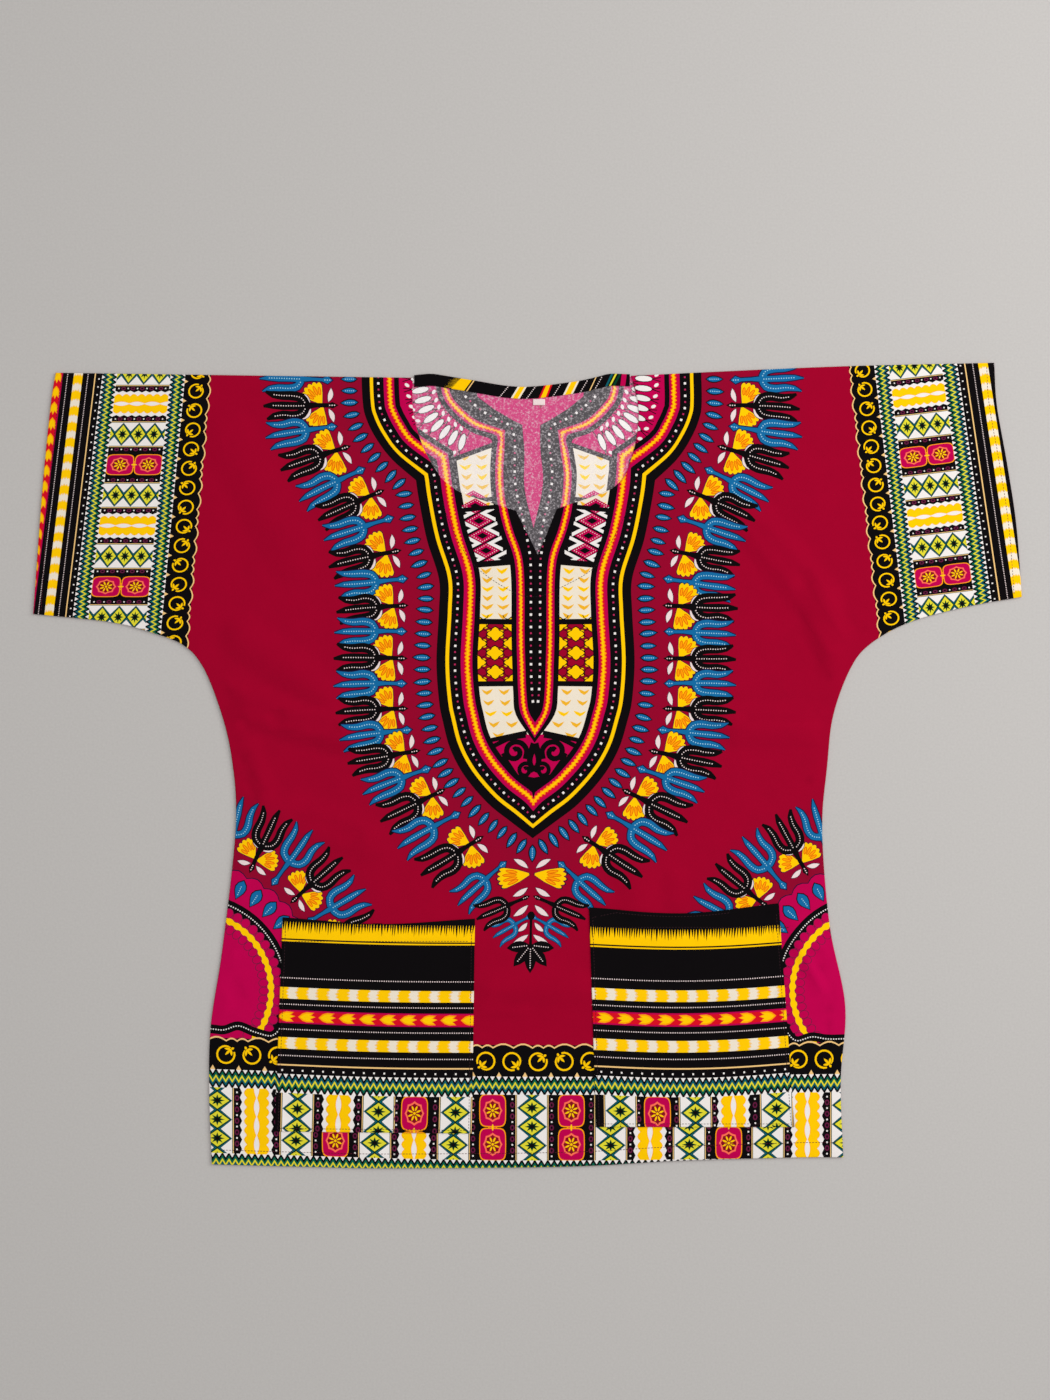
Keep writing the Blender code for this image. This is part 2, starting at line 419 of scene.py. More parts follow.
class Posy:
    """A black tulip with the flowers and leaves on its stem."""

    FLOWERS = ((15.5, 2.0, 58.0), (14.5, -2.0, -66.0))
    LEAVES = ((8.5, 3.4, 104.0), (8.5, -3.4, -108.0), (26.5, 3.2, 40.0), (26.0, -3.2, -48.0))

    def draw(self, sway: float, flare: float = 1.0) -> Drawing:
        """The posy's drawing.

        Args:
            sway: How far the tulip's prongs lean.
            flare: How wide its cup opens.

        Returns:
            The drawing.
        """
        art = Drawing()
        for x, y, turn in self.FLOWERS:
            art.add(ShellFlower().draw(), (x, y), turn, flip=y < 0)
        for x, y, turn in self.LEAVES:
            art.add(Leaf().draw(), (x, y), turn, flip=y < 0)
        return art.add(BLACK_TULIP.draw(sway, flare))


@dataclass
class HalfFrame:
    """The right half of a pointed frame: an upper stretch, a corner, and a lower stretch down to a tip."""

    upper: Sequence
    lower: Sequence
    gain_in: float
    gain_out: float
    slim: float = 1.0

    STEP = 6.0

    def at(self, depth: float, ragged: float = 0.0) -> np.ndarray:
        """The frame's line moved inwards.

        Args:
            depth: How far it moves inwards, or outwards where it is negative.
            ragged: How far the line is jagged to either side.

        Returns:
            The line from the top to the tip. Outside the frame its corner is round.
        """
        upper, lower = np.array(self.upper, float), np.array(self.lower, float)
        start, end = self._inward(upper), self._inward(lower)
        between = start[-1] + end[0]
        between /= np.hypot(*between)
        corner = upper[-1] + between * depth / (between @ end[0]) * 1.04
        tip = (lower[-1][0], lower[-1][1] + depth * (self.gain_in if depth > 0 else self.gain_out))
        upper = np.vstack([upper[:-1] + start[:-1] * depth * self.slim, corner])
        lower = np.vstack([corner, (lower + end * depth)[1:-1], tip])
        if depth < 0:
            line = Knots.smooth(np.vstack([upper[:-1], lower]), self.STEP)
        else:
            line = np.vstack([Knots.smooth(upper, self.STEP)[:-1], Knots.smooth(lower, self.STEP)])
        if ragged:
            chance = random.Random(SEED + round(depth * 10))
            places = np.arange(0, Knots.lengths(line)[-1], 1.9)
            line = np.vstack([Knots.along(line, places)[0], line[-1:]])
            shift = [ragged * (1 if i % 2 else -1) * chance.uniform(0.3, 1.0) for i in range(len(line))]
            line = Knots.aside(line, np.array(shift))
            line[-1, 0] = 0.0
        return line

    @staticmethod
    def _inward(knots: np.ndarray) -> np.ndarray:
        """Unit directions to the inner side at each knot."""
        way = Knots.tangents(knots)
        return np.stack([way[:, 1], -way[:, 0]], 1)


NECK_FRAME = HalfFrame(
    upper=[(169.5, 420), (169.5, 365.5), (166, 345.5), (156.5, 325.5), (142, 305.5), (119.5, 285)],
    lower=[
        (119.5, 285), (116.5, 265.5), (108.5, 225.5), (96.5, 186.5), (96.5, 155), (99, 105),
        (96.5, 65.5), (92, 43.5), (84, 16.3), (69, -10.7), (45.5, -37.7), (23.4, -55.2), (0, -72.6),
    ],
    gain_in=1.12,
    gain_out=1.0,
    slim=0.9,
)
PLACKET_FRAME = HalfFrame(
    upper=[(85, 420), (85, 376), (82.6, 361), (76.7, 352), (67, 342), (53.7, 332.5), (30.5, 324.5)],
    lower=[
        (30.5, 324.5), (32, 305), (34, 284), (32.5, 260), (29, 243.5), (24.7, 229.5), (20, 217.5),
        (16.8, 205.5), (15.3, 190.5), (14.7, 169.5), (14.7, 127.5), (13.8, 95.5), (13.0, 73.5),
        (10.4, 53.5), (0, 32.0),
    ],
    gain_in=2.9,
    gain_out=1.0,
)


class NeckMotif:
    """The framed motif round the neck and down the placket, drawn as its right half, and its fringe."""

    BANDS = (
        (0.0, 9.0, Ink.BLACK, 0.0, 0.0),
        (9.0, 12.6, Ink.YELLOW, 0.0, 0.0),
        (12.6, 24.2, Ink.BLACK, 0.0, 0.0),
        (24.2, 36.2, Ink.MAGENTA, 0.0, 0.0),
        (27.2, 34.0, Ink.RED, 0.0, 0.0),
        (28.9, 33.0, Ink.ORANGE, 1.25, 1.25),
        (30.1, 31.9, Ink.YELLOW, 0.8, 0.8),
        (35.8, 41.2, Ink.BLACK, 0.0, 0.0),
    )
    STRIPE = (
        (-9.3, Ink.BLACK, 0.0),
        (-4.2, Ink.MAGENTA, 0.0),
        (-2.3, Ink.RED, 0.0),
        (-1.5, Ink.ORANGE, 0.95),
        (-0.4, Ink.YELLOW, 0.6),
        (0.8, Ink.ORANGE, 0.6),
        (1.5, Ink.RED, 0.95),
        (2.8, Ink.MAGENTA, 0.0),
        (3.8, Ink.BLACK, 0.0),
    )
    DOT_COLUMN = (
        (66, 362), (57, 353.5), (46.8, 345.3), (34.4, 338), (20.7, 331), (17.2, 317), (18, 301),
        (18.7, 287), (18.1, 272), (15.3, 257), (11.6, 243), (9.0, 230), (6.6, 216), (4.9, 202),
        (4.6, 150), (4.5, 100), (3.6, 76), (2.2, 60),
    )
    KEYHOLE_TOP = ((0, 420), (58, 420), (53, 361), (37, 348.5), (18, 337))
    KEYHOLE = ((9, 332.5), (8, 306.5), (9.6, 280), (7.8, 262), (4.6, 248), (0, 229.6))
    FAN_GROUND = (
        (60, 420), (140, 420), (136, 345), (112, 314), (78, 298.5), (36, 313.5), (36, 330), (62, 350),
        (74, 372),
    )
    FAN_MIDDLE = ((113, 420), (112, 385), (109.5, 366), (103, 345), (92, 330), (76, 318), (62, 313))
    CHEVRON = ((-6.0, 2.6), (-3.6, -1.2), (0.2, -3.8), (3.6, -1.4), (6.0, 2.4), (0.8, -0.1), (-1.8, 1.2))

    def draw(self) -> Drawing:
        """The motif with its fringe, both halves."""
        half = Drawing()
        outer = NECK_FRAME.at(30.0)
        half.fill(np.vstack([outer, [(0, 420)]]), Ink.BLACK)
        self._cream_block(half, 316, 257, rows=6, depth=44.0)
        self._fan(half)
        self._argyle(half)
        self._cream_block(half, 200, 146, rows=6)
        self._flowers(half, 141, 84)
        self._cream_block(half, 80, 26, rows=5)
        self._heart(half)
        self._bars(half)
        self._placket(half)
        self._bands(half)
        fringe = Fringe().draw()
        return Drawing(half.both_sides().shapes + fringe.shapes)

    def _bands(self, art: Drawing) -> None:
        """The bands of the outer frame, and their squares."""
        for start, end, ink, rough_start, rough_end in self.BANDS:
            outer, inner = NECK_FRAME.at(start, ragged=rough_start), NECK_FRAME.at(end, ragged=rough_end)
            art.fill(np.vstack([outer, inner[::-1]]), ink)
        squares = NECK_FRAME.at(18.4)
        art.dots(squares, 12.4, 2.3, Ink.WHITE, 1.0)
        art.dots(squares, 12.4, 1.7, Ink.PINK, 7.2)

    def _placket(self, art: Drawing) -> None:
        """The stripe along the placket, the placket's ground, its keyhole and its columns of squares."""
        for depth, ink, ragged in self.STRIPE:
            art.fill(np.vstack([PLACKET_FRAME.at(depth, ragged=ragged), [(0, 420)]]), ink)
        art.fill(np.vstack([self.KEYHOLE_TOP, Knots.smooth(self.KEYHOLE, 8)]), Ink.MAGENTA)
        column = Knots.smooth(self.DOT_COLUMN)
        art.dots(column, 12.4, 2.4, Ink.WHITE, 2.0)
        art.dots(column, 12.4, 1.7, Ink.PINK, 8.2)

    def _side(self, line: np.ndarray, high: float, low: float, count: int = 5) -> np.ndarray:
        """Points of a frame's line between two heights, from the high one down."""
        heights = np.linspace(high, low, count)
        return np.stack([np.interp(heights, line[::-1, 1], line[::-1, 0]), heights], 1)

    def _block(self, high: float, low: float, depth: float = 41.0) -> tuple[np.ndarray, Place]:
        """The outline of an inner block, and the way from a share of its width to a place in it."""
        outer = self._side(NECK_FRAME.at(depth), high, low)
        inner = self._side(PLACKET_FRAME.at(-9.0), high, low)
        heights = outer[::-1, 1]

        def place(across: float, height: float) -> np.ndarray:
            """A place from its share of the way outwards and its height."""
            near = np.interp(height, heights, inner[::-1, 0])
            far = np.interp(height, heights, outer[::-1, 0])
            return np.array((near + (far - near) * across, height))

        return np.vstack([inner, outer[::-1]]), place

    def _cream_block(self, art: Drawing, high: float, low: float, rows: int, depth: float = 41.0) -> None:
        """A cream block with two columns of yellow chevrons."""
        outline, place = self._block(high, low, depth)
        art.fill((outline - outline.mean(0)) * 1.04 + outline.mean(0), Ink.CREAM)
        chance = random.Random(SEED + rows)
        pitch = (high - low) / rows
        for row in range(rows):
            for across in (0.27, 0.77):
                spot = place(across, high - pitch * (row + 0.55))
                wing = np.array(self.CHEVRON) * (chance.uniform(0.88, 1.08), chance.uniform(0.85, 1.1))
                art.fill(wing + spot, Ink.OCHRE if chance.random() < 0.75 else Ink.YELLOW)

    def _argyle(self, art: Drawing) -> None:
        """Three magenta diamonds between white zigzags."""
        diamond = np.array([(-13.8, 0), (0, -7.7), (13.8, 0), (0, 7.7)])
        centres = [np.array(spot) for spot in ((56.6, 244.5), (53.0, 229.6), (49.4, 214.8))]
        step = (centres[1] - centres[0]) / 2
        for index in range(-1, 6, 2):
            waist = centres[0] + step * index
            for side in (-1, 1):
                for near, far, half, ink in ((2.5, 18.5, 8.2, Ink.WHITE), (9.5, 18.6, 4.4, Ink.BLACK)):
                    wedge = np.array([(side * near, 0), (side * far, half), (side * far, -half)])
                    art.fill(waist + wedge, ink)
        for centre in (centres[0] - 2 * step, *centres, centres[2] + 2 * step):
            art.fill(diamond + centre, Ink.MAGENTA)
            ring = np.vstack([diamond, diamond[:1]]) * 0.76 + centre
            art.dots(ring, 2.4, 0.85, Ink.PETAL)
            art.fill(diamond * 0.4 + centre, Ink.BLACK)

    def _flowers(self, art: Drawing, high: float, low: float) -> None:
        """A crimson block with a black lattice of yellow lobed flowers."""
        outline, place = self._block(high, low)
        art.fill((outline - outline.mean(0)) * 1.03 + outline.mean(0), Ink.CRIMSON)
        turn = np.arange(16) * math.tau / 16
        reach = 6.3 + 1.3 * np.cos(4 * turn)
        lobed = np.stack([reach * np.cos(turn) * 1.12, reach * np.sin(turn) * 0.95], 1)
        pitch = (high - low) / 3
        for row in range(7):
            for across in ((0.5,) if row % 2 else (0.0, 1.0)):
                spot = place(across, high - pitch * row / 2)
                for side in (-1, 1):
                    for lean in (-1, 1):
                        twig = np.array([(3, 5), (7.6, 6.6), (9.0, 9.4)]) * (side, lean)
                        art.line(spot + twig, 0.8, Ink.BLACK, 4)
                        bud = spot + (side * 6.4, lean * 3.0)
                        art.fill(Knots.ellipse(bud, 2.5, 1.9, 0, 7), Ink.BLACK)
                        art.fill(Knots.ellipse(bud, 1.8, 1.2, 0, 7), Ink.YELLOW)
                art.fill(lobed * 1.13 + spot, Ink.BLACK)
                art.fill(lobed * (0.98, 0.96) + spot, Ink.YELLOW)

    def _heart(self, art: Drawing) -> None:
        """Black scrolls on magenta in the point of the frame."""
        art.fill([(0, 30), (14, 32), (44, 24), (46, 18), (10, -28), (0, -34)], Ink.MAGENTA)
        art.line([(9, 30), (25, 27), (42, 19)], 4.6, Ink.BLACK)
        for centre, size, start, coils in (((19.4, 13.5), 12.6, 2.4, 1.45), ((8.6, -5.0), 8.2, 2.0, 1.3)):
            angle = np.linspace(0, math.tau * coils, 13) + 0.9
            radius = np.linspace(start, size, 13)
            spiral = np.stack([radius * np.cos(angle), radius * np.sin(angle)], 1) + centre
            art.line(spiral, 5.4 if size > 10 else 4.2, Ink.BLACK, 3.0)
        sweep = [(32, 12), (24, -0.5), (16, -12), (5, -22), (0, -27)]
        art.line(sweep, (3.2, 4.0, 4.4, 4.4, 4.4), Ink.BLACK)
        art.fill([(0, -12), (16, -9), (13, -15), (4.4, -24), (0, -26)], Ink.BLACK)
        gap = [(2.2, -25.5), (9, -18.5), (13.2, -13.0), (8.2, -16.2), (7.2, -19.0), (4.0, -20.4)]
        art.fill(gap, Ink.MAGENTA)
        art.line([(0, 22), (4.0, 10), (4.0, 2), (0, -6)], (8.0, 6.4, 5.4, 6.0), Ink.BLACK)

    def _fan(self, art: Drawing) -> None:
        """White petals that radiate on magenta, over the shoulder."""
        art.fill(self.FAN_GROUND, Ink.MAGENTA)
        middle = Knots.smooth(self.FAN_MIDDLE)
        places = np.arange(4, Knots.lengths(middle)[-1], 9.8)
        spots, turns = Knots.along(middle, places)
        for spot, turn in zip(spots, np.degrees(turns) + 90):
            for lean in (-1, 1):
                ray = [spot + Knots.spot(-17, lean * 5.6, turn), spot + Knots.spot(17, lean * -2.0, turn)]
                art.line(ray, 0.9, Ink.BLACK, 20)
            art.fill(Knots.ellipse(spot, 9.4, 3.7, turn, 12), Ink.BLACK)
            art.fill(Knots.ellipse(spot, 8.6, 2.9, turn, 12), Ink.WHITE)
            for end in (-1, 1):
                foot = spot + Knots.spot(end * 12.8, 4.6, turn)
                art.fill(Knots.ellipse(foot, 2.7, 1.7, turn + end * 40, 8), Ink.WHITE)

    def _bars(self, art: Drawing) -> None:
        """Black bars between the inner blocks."""
        art.line([(92, 293), (78, 298.5), (34, 314.5)], 4.6, Ink.BLACK)
        for (left, left_high), (right, right_high), width in (
            ((26, 260), (84, 254), 4.4), ((18, 204), (66, 200), 6.0), ((14, 143.5), (64, 144), 5.4),
            ((14, 82), (64, 81.5), 5.2), ((8, 33), (50, 24), 4.4),
        ):
            art.line([(left, left_high), (right, right_high)], width, Ink.BLACK, 60)


class Fringe:
    """The rings of drops, tulips, flowers and leaves round the neck motif."""

    DROP_RING = -13.2
    DROP_PITCH = 11.8
    STEMS = (
        (199, 385, 2), (195, 360, 0), (196, 339, -8), (184, 319, -17), (170, 297, -26), (152, 275, -24),
        (142, 248, -18), (135, 215, -12), (128, 187, -8), (128, 160, -2), (129, 134, -1), (129, 107, 0),
        (129, 82, 0), (128, 57, -3), (123, 36, -6), (115, 15, -11), (103, -2, -21), (89, -24, -26),
        (73, -47, -29), (50, -71, -34), (26, -96, -41),
    )

    def draw(self) -> Drawing:
        """The fringe on both sides, and the bouquet under the tip."""
        art = Drawing()
        for side in (1, -1):
            half = Drawing()
            chance = random.Random(SEED + side)
            self._stems(half, chance)
            self._drops(half, chance)
            art.shapes += [(outline * (side, 1), ink) for outline, ink in half.shapes]
        self._bouquet(art)
        return art

    def _drops(self, art: Drawing, chance: random.Random) -> None:
        """The inner ring of blue drops, each pointing at the frame."""
        guide = NECK_FRAME.at(self.DROP_RING)
        length = Knots.lengths(guide)[-1]
        count = round((length - 22) / self.DROP_PITCH)
        spots, turns = Knots.along(guide, 22 + np.arange(count) * (length - 22) / count)
        for spot, turn in zip(spots, np.degrees(turns) + 90):
            size = chance.uniform(0.93, 1.05)
            foot = spot - Knots.spot(8.2, 0.0, turn)
            art.add(Drop().draw(), foot, turn + chance.uniform(-3, 3), size)

    def _stems(self, art: Drawing, chance: random.Random) -> None:
        """The outer ring: blue tulips and black posies in turn."""
        for index, (x, y, turn) in enumerate(self.STEMS):
            turn += chance.uniform(-1.5, 1.5)
            sway = chance.uniform(-1.2, 1.2)
            flare = 1.25 if index > 16 else 1.0
            size = chance.uniform(0.97, 1.02) * (0.9 if index == 20 else 1.0)
            stem = Posy().draw(sway, flare) if index % 2 else BLUE_TULIP.draw(sway, flare)
            art.add(stem, (x, y), turn, size)

    def _bouquet(self, art: Drawing) -> None:
        """The bouquet on the axis under the frame's tip."""
        art.add(Drop(18.5, 8.4).draw(), (0, -78.5), -90)
        half = Drawing()
        half.add(Leaf(17, 5.2).draw(), (4, -102.5), 32)
        half.add(ShellFlower(32, 23).draw(), (3.0, -108.5), -9)
        half.add(Leaf(17, 5.2).draw(), (4, -122), -31, flip=True)
        half.add(Leaf(18, 5.4).draw(), (3.4, -139.5), -38, flip=True)
        half.add(Leaf(13, 4.6).draw(), (3.6, -157), -43, flip=True)
        half.add(Leaf(17, 5.0).draw(), (2.5, -169), -29, flip=True)
        half.add(BLUE_TULIP.draw(-0.5, 1.5), (0, -150), -29, 0.6)
        half.add(BLACK_TULIP.draw(0.5, 1.3), (2.5, -130.5), -24, 0.78)
        art.shapes += half.both_sides().shapes
        art.line([(0, -150), (0, -165), (0, -182)], (3.0, 2.4, 3.2), Ink.BLACK)
        art.fill(Knots.ellipse((0, -150), 3.8, 4.4), Ink.BLACK)
        lobes = ((-90, 28), (-52, 27), (-128, 27), (-7, 24), (187, 24))
        for turn, length in lobes:
            art.fill(Knots.turned(Knots.lens(length, 11.5, 1.0, 0.85), turn) + (0, -179.5), Ink.BLACK)
        for turn, length in lobes:
            spots = Knots.turned(np.array([(4.0, 0.0), (length - 5.0, 0.0)]), turn) + (0, -179.5)
            art.dots(spots, 2.3, 1.0, Ink.PETAL)


class Tile(Enum):
    """The three patterns of a border's tiles."""

    DIAMONDS = "diamonds"
    MEDALLIONS = "medallions"
    WAVES = "waves"


@dataclass
class Border:
    """A border of tiles between zigzags, along x: its outer side towards +y, its tiles below y = 0."""

    start: float
    end: float
    tiles: Sequence[tuple[float, Tile]]
    direction: int = 1
    outer_reach: float = 60.0
    inner: bool = True
    depth: float = 65.6
    zigzag: float = 18.0
    ring_pitch: float = 26.0

    def draw(self) -> Drawing:
        """The border's drawing."""
        art = Drawing()
        inner_side = -self.depth - self.zigzag - 31.5 if self.inner else -self.depth - self.zigzag
        self._band(art, inner_side, self.outer_reach, Ink.BLACK)
        for middle, tile in self.tiles:
            if tile is Tile.DIAMONDS:
                self._diamonds(art, middle)
            elif tile is Tile.MEDALLIONS:
                self._medallions(art, middle)
            else:
                self._waves(art, middle)
        places = sorted(middle for middle, _ in self.tiles)
        for left, right in zip(places, places[1:]):
            self._seam(art, (left + right) / 2)
        self._zigzag(art, 0.0)
        self._outer_bands(art)
        if self.inner:
            self._zigzag(art, -self.depth - self.zigzag)
            self._rings(art)
        return art

    def _band(self, art: Drawing, low: float, high: float, ink: Ink) -> None:
        """One plain band along the whole border."""
        x = np.linspace(self.start, self.end, max(2, round((self.end - self.start) / 12)))
        edge = np.stack([x, np.full_like(x, low)], 1)
        art.fill(np.vstack([edge, (edge + (0, high - low))[::-1]]), ink)

    def _dotted(self, art: Drawing, height: float, pitch: float, size: float, ink: Ink) -> None:
        """A line of small squares along the whole border."""
        art.dots(np.array([(self.start, height), (self.end, height)]), pitch, size, ink, pitch / 2)

    def _diamonds(self, art: Drawing, middle: float) -> None:
        """A white tile with a chain of lime diamonds in teal and green outlines, each with a dark star."""
        art.fill(Knots.box(middle - 16.4, -self.depth, middle + 16.4, 0), Ink.TAN)
        art.fill(Knots.box(middle - 15.6, -self.depth, middle + 15.6, 0), Ink.GREEN)
        art.fill(Knots.box(middle - 14.9, -self.depth, middle + 14.9, 0), Ink.WHITE)
        pitch = 18.9
        star_turn = np.arange(16) * math.tau / 16
        spike = np.where(np.arange(16) % 2, 3.0, 6.6)
        star = np.stack([spike * np.cos(star_turn) * 1.15, spike * np.sin(star_turn) * 0.92], 1)
        diamond = np.array([(-1.0, 0), (0, -1.0), (1.0, 0), (0, 1.0)])
        rows = [centre for centre in (4.1 - pitch * np.arange(5)) if centre > -self.depth - 10]
        for across, up, ink in (
            (14.9, 12.4, Ink.BLACK), (14.6, 11.6, Ink.TEAL), (13.4, 9.9, Ink.BLACK), (12.8, 9.3, Ink.GREEN),
            (11.9, 8.4, Ink.LIME),
        ):
            for height in rows:
                art.fill(diamond * (across, up) + (middle, height), ink)
        for height in rows:
            centre = np.array((middle, height))
            art.fill(star + centre, Ink.GREEN)
            art.fill(star * 0.6 + centre, Ink.BLACK)

    def _medallions(self, art: Drawing, middle: float) -> None:
        """Two magenta cushions, each with a flower in a wavy coral ring."""
        square = np.linspace(0, math.tau, 25)[:-1]
        power = 0.42
        cushion = np.stack([
            np.sign(np.cos(square)) * np.abs(np.cos(square)) ** power * 12.6,
            np.sign(np.sin(square)) * np.abs(np.sin(square)) ** power * 15.6,
        ], 1)
        lobe_turn = np.arange(24) * math.tau / 24
        lobe = 9.4 + 0.8 * np.cos(8 * lobe_turn)
        lobed = np.stack([lobe * np.cos(lobe_turn) * 0.95, lobe * np.sin(lobe_turn) * 1.14], 1)
        art.fill(Knots.box(middle - 4.5, -36.4, middle + 4.5, -29.2), Ink.ORANGE)
        art.fill(Knots.box(middle - 3.2, -36.4, middle + 3.2, -29.2), Ink.MAGENTA)
        for height in (-15.9, -49.7):
            centre = np.array((middle, height))
            art.fill(cushion * 1.07 + centre, Ink.ORANGE)
            art.fill(cushion + centre, Ink.MAGENTA)
            art.fill(lobed + centre, Ink.CORAL)
            art.fill(lobed * 0.82 + centre, Ink.DARK_RED)
            for petal in range(8):
                turn = petal * 45 + 22.5
                foot = Knots.spot(4.3, 0.0, turn) * (1, 1.15) + centre
                art.fill(Knots.ellipse(foot, 2.7, 0.95, turn, 7), Ink.YELLOW)
            art.fill(Knots.ellipse(centre, 1.4, 1.4, 0, 8), Ink.YELLOW)
        art.fill(Knots.ellipse((middle, -32.8), 1.0, 3.4, 0, 8), Ink.YELLOW)

    def _waves(self, art: Drawing, middle: float) -> None:
        """An off-white tile with wavy sides and two yellow scalloped columns."""
        y, pitch = np.linspace(-self.depth, 0, 29), 9.37
        wave = 15.6 + 1.1 * np.cos(y / pitch * math.tau)
        right, left = np.stack([middle + wave, y], 1), np.stack([middle - wave, y], 1)
        art.fill(np.vstack([right, left[::-1]]), Ink.WHITE)
        swell = np.abs(np.sin(y / pitch * math.pi))
        slow_swell = np.abs(np.sin(y / (2 * pitch) * math.pi))
        for side in (-1, 1):
            for grow, ink in ((0.5, Ink.ORANGE), (0.0, Ink.YELLOW)):
                far = np.stack([middle + side * (9.2 + 3.0 * swell + grow), y], 1)
                near = np.stack([middle + side * (0.9 + 2.3 * slow_swell - grow), y], 1)
                art.fill(np.vstack([far, near[::-1]]), ink)

    def _seam(self, art: Drawing, middle: float) -> None:
        """Small white dots and plum ovals down the black strip between two tiles."""
        for row in range(6):
            height = -4.2 - 11.4 * row
            art.fill(Knots.box(middle - 0.8, height - 0.8, middle + 0.8, height + 0.8), Ink.WHITE)
            if row < 5:
                art.fill(Knots.ellipse((middle, height - 5.7), 2.4, 3.0, 0, 8), Ink.PLUM)
                art.fill(Knots.ellipse((middle, height - 5.7), 1.1, 1.6, 0, 6), Ink.BLACK)

    def _zigzag(self, art: Drawing, low: float) -> None:
        """A band of zigzag lines between rows of white triangles."""
        pitch, high = 6.5, low + self.zigzag
        self._band(art, low, high, Ink.BLACK)
        corners = np.arange(self.start, self.end + pitch, pitch / 2)
        swing = np.where(np.arange(len(corners)) % 2, -2.7, 2.7)
        for lift, thick, ink in ((3.0, 2.7, Ink.TEAL), (-3.0, 2.7, Ink.SEA), (0.0, 2.7, Ink.LIME)):
            middle = low + self.zigzag / 2 + swing + lift
            line = np.stack([corners, middle + thick / 2], 1)
            art.fill(np.vstack([line - (0, thick), line[::-1]]), ink)
        for index, x in enumerate(corners):
            if index % 2:
                art.fill([(x - 2.4, high), (x, high - 4.0), (x + 2.4, high)], Ink.WHITE)
            else:
                art.fill([(x - 2.4, low), (x + 2.4, low), (x, low + 4.0)], Ink.WHITE)

    def _rings(self, art: Drawing) -> None:
        """Curled yellow rings with sprigs, and a scalloped line above them."""
        base = -self.depth - self.zigzag
        for index, x in enumerate(np.arange(self.start + self.ring_pitch / 2, self.end, self.ring_pitch)):
            centre = np.array((x, base - 15.2))
            turn = (45, -45, -135, 135)[index % 4]
            sweep = np.radians(turn + np.linspace(28, 352, 17))
            reach = np.linspace(8.9, 8.3, 17)
            art.line(np.stack([reach * np.cos(sweep), reach * np.sin(sweep)], 1) + centre,
                     (1.6,) + (1.9,) * 14 + (1.5, 0.8), Ink.YELLOW, 3.5)
            foot = centre + Knots.spot(7.4, 0.0, turn)
            for lean, length in ((180, 8.2), (128, 6.6), (-128, 6.6), (20, 3.6)):
                art.fill(Knots.turned(Knots.lens(length, 2.5, 1.0, 0.9), turn + lean) + foot, Ink.YELLOW)
            side = x + self.ring_pitch / 2
            art.fill([(side - 2.6, base), (side + 2.6, base), (side, base - 4.5)], Ink.TAN)
        x, line = self.start, []
        while x < self.end:
            for width, rise in ((20.6, 3.8), (19.0, 3.8), (10.8, 2.5), (10.8, 2.5)):
                t = np.linspace(0, 1, 6)[:-1]
                line.append(np.stack([x + width * t, base - 28.8 - rise * np.sin(np.pi * t)], 1))
                x += width
        path = np.vstack(line)
        art.fill(np.vstack([path + (0, 0.8), (path - (0, 0.8))[::-1]]), Ink.TAN)

    def _outer_bands(self, art: Drawing) -> None:
        """The bands beyond the outer zigzag: dots, lines, brushed stripes and a red band with arrows."""
        base = self.zigzag
        reach = self.outer_reach
        if reach > base + 5:
            self._dotted(art, base + 3.6, 10.2, 1.7, Ink.WHITE)
        if reach > base + 9:
            self._band(art, base + 8.0, base + 9.4, Ink.TAN)
        if reach > base + 20:
            self._dotted(art, base + 17.6, 2.3, 1.05, Ink.PETAL)
            self._brushed(art, base + 24.0, base + 35.0)
        if reach > base + 45:
            self._dotted(art, base + 42.6, 2.3, 1.05, Ink.PETAL)
            self._arrows(art, base + 48.4, base + 61.0)
        if reach > base + 70:
            self._dotted(art, base + 66.4, 2.3, 1.05, Ink.PETAL)
            self._brushed(art, base + 71.6, base + 82.6)
            self._dotted(art, base + 91.4, 2.3, 1.05, Ink.PETAL)

    def _brushed(self, art: Drawing, low: float, high: float) -> None:
        """A white stripe with soft yellow brush marks."""
        self._band(art, low, high, Ink.CREAM)
        chance = random.Random(SEED + round(low))
        middle, half = (low + high) / 2, (high - low) / 2
        for x in np.arange(self.start + 4, self.end - 12, 20.3):
            for reach, ink in ((7.1, Ink.TAN), (6.0, Ink.YELLOW)):
                edge = []
                for index in range(8):
                    y = middle - half + 2 * half * index / 7
                    edge.append((x + reach * (0.86 if index % 2 else 1.14) * chance.uniform(0.9, 1.08), y))
                back = [(2 * x - spot_x + 1.5, y) for spot_x, y in edge]
                outline = np.array(edge + back[::-1])
                outline[:, 0] += 2.0 * self.direction * np.cos((outline[:, 1] - middle) / half * 1.5)
                art.fill(outline, ink)

    def _arrows(self, art: Drawing, low: float, high: float) -> None:
        """A red band with yellow arrows that have three flame tails."""
        self._band(art, low, high, Ink.MAGENTA)
        self._band(art, low + 1.4, high - 1.4, Ink.RED)
        middle = (low + high) / 2
        arrow = np.array([
            (9.4, 0), (5.0, 3.6), (0.6, 4.9), (-6.8, 4.4), (-2.2, 2.4), (-8.0, 0.4),
            (-2.4, -1.9), (-6.6, -4.6), (0.6, -4.9), (5.0, -3.6),
        ])
        for x in np.arange(self.start + 9, self.end - 6, 20.3):
            art.fill(arrow * (self.direction, 1.0) + (x, middle), Ink.ORANGE)
            art.fill(arrow * (self.direction * 0.8, 0.72) + (x, middle), Ink.YELLOW)


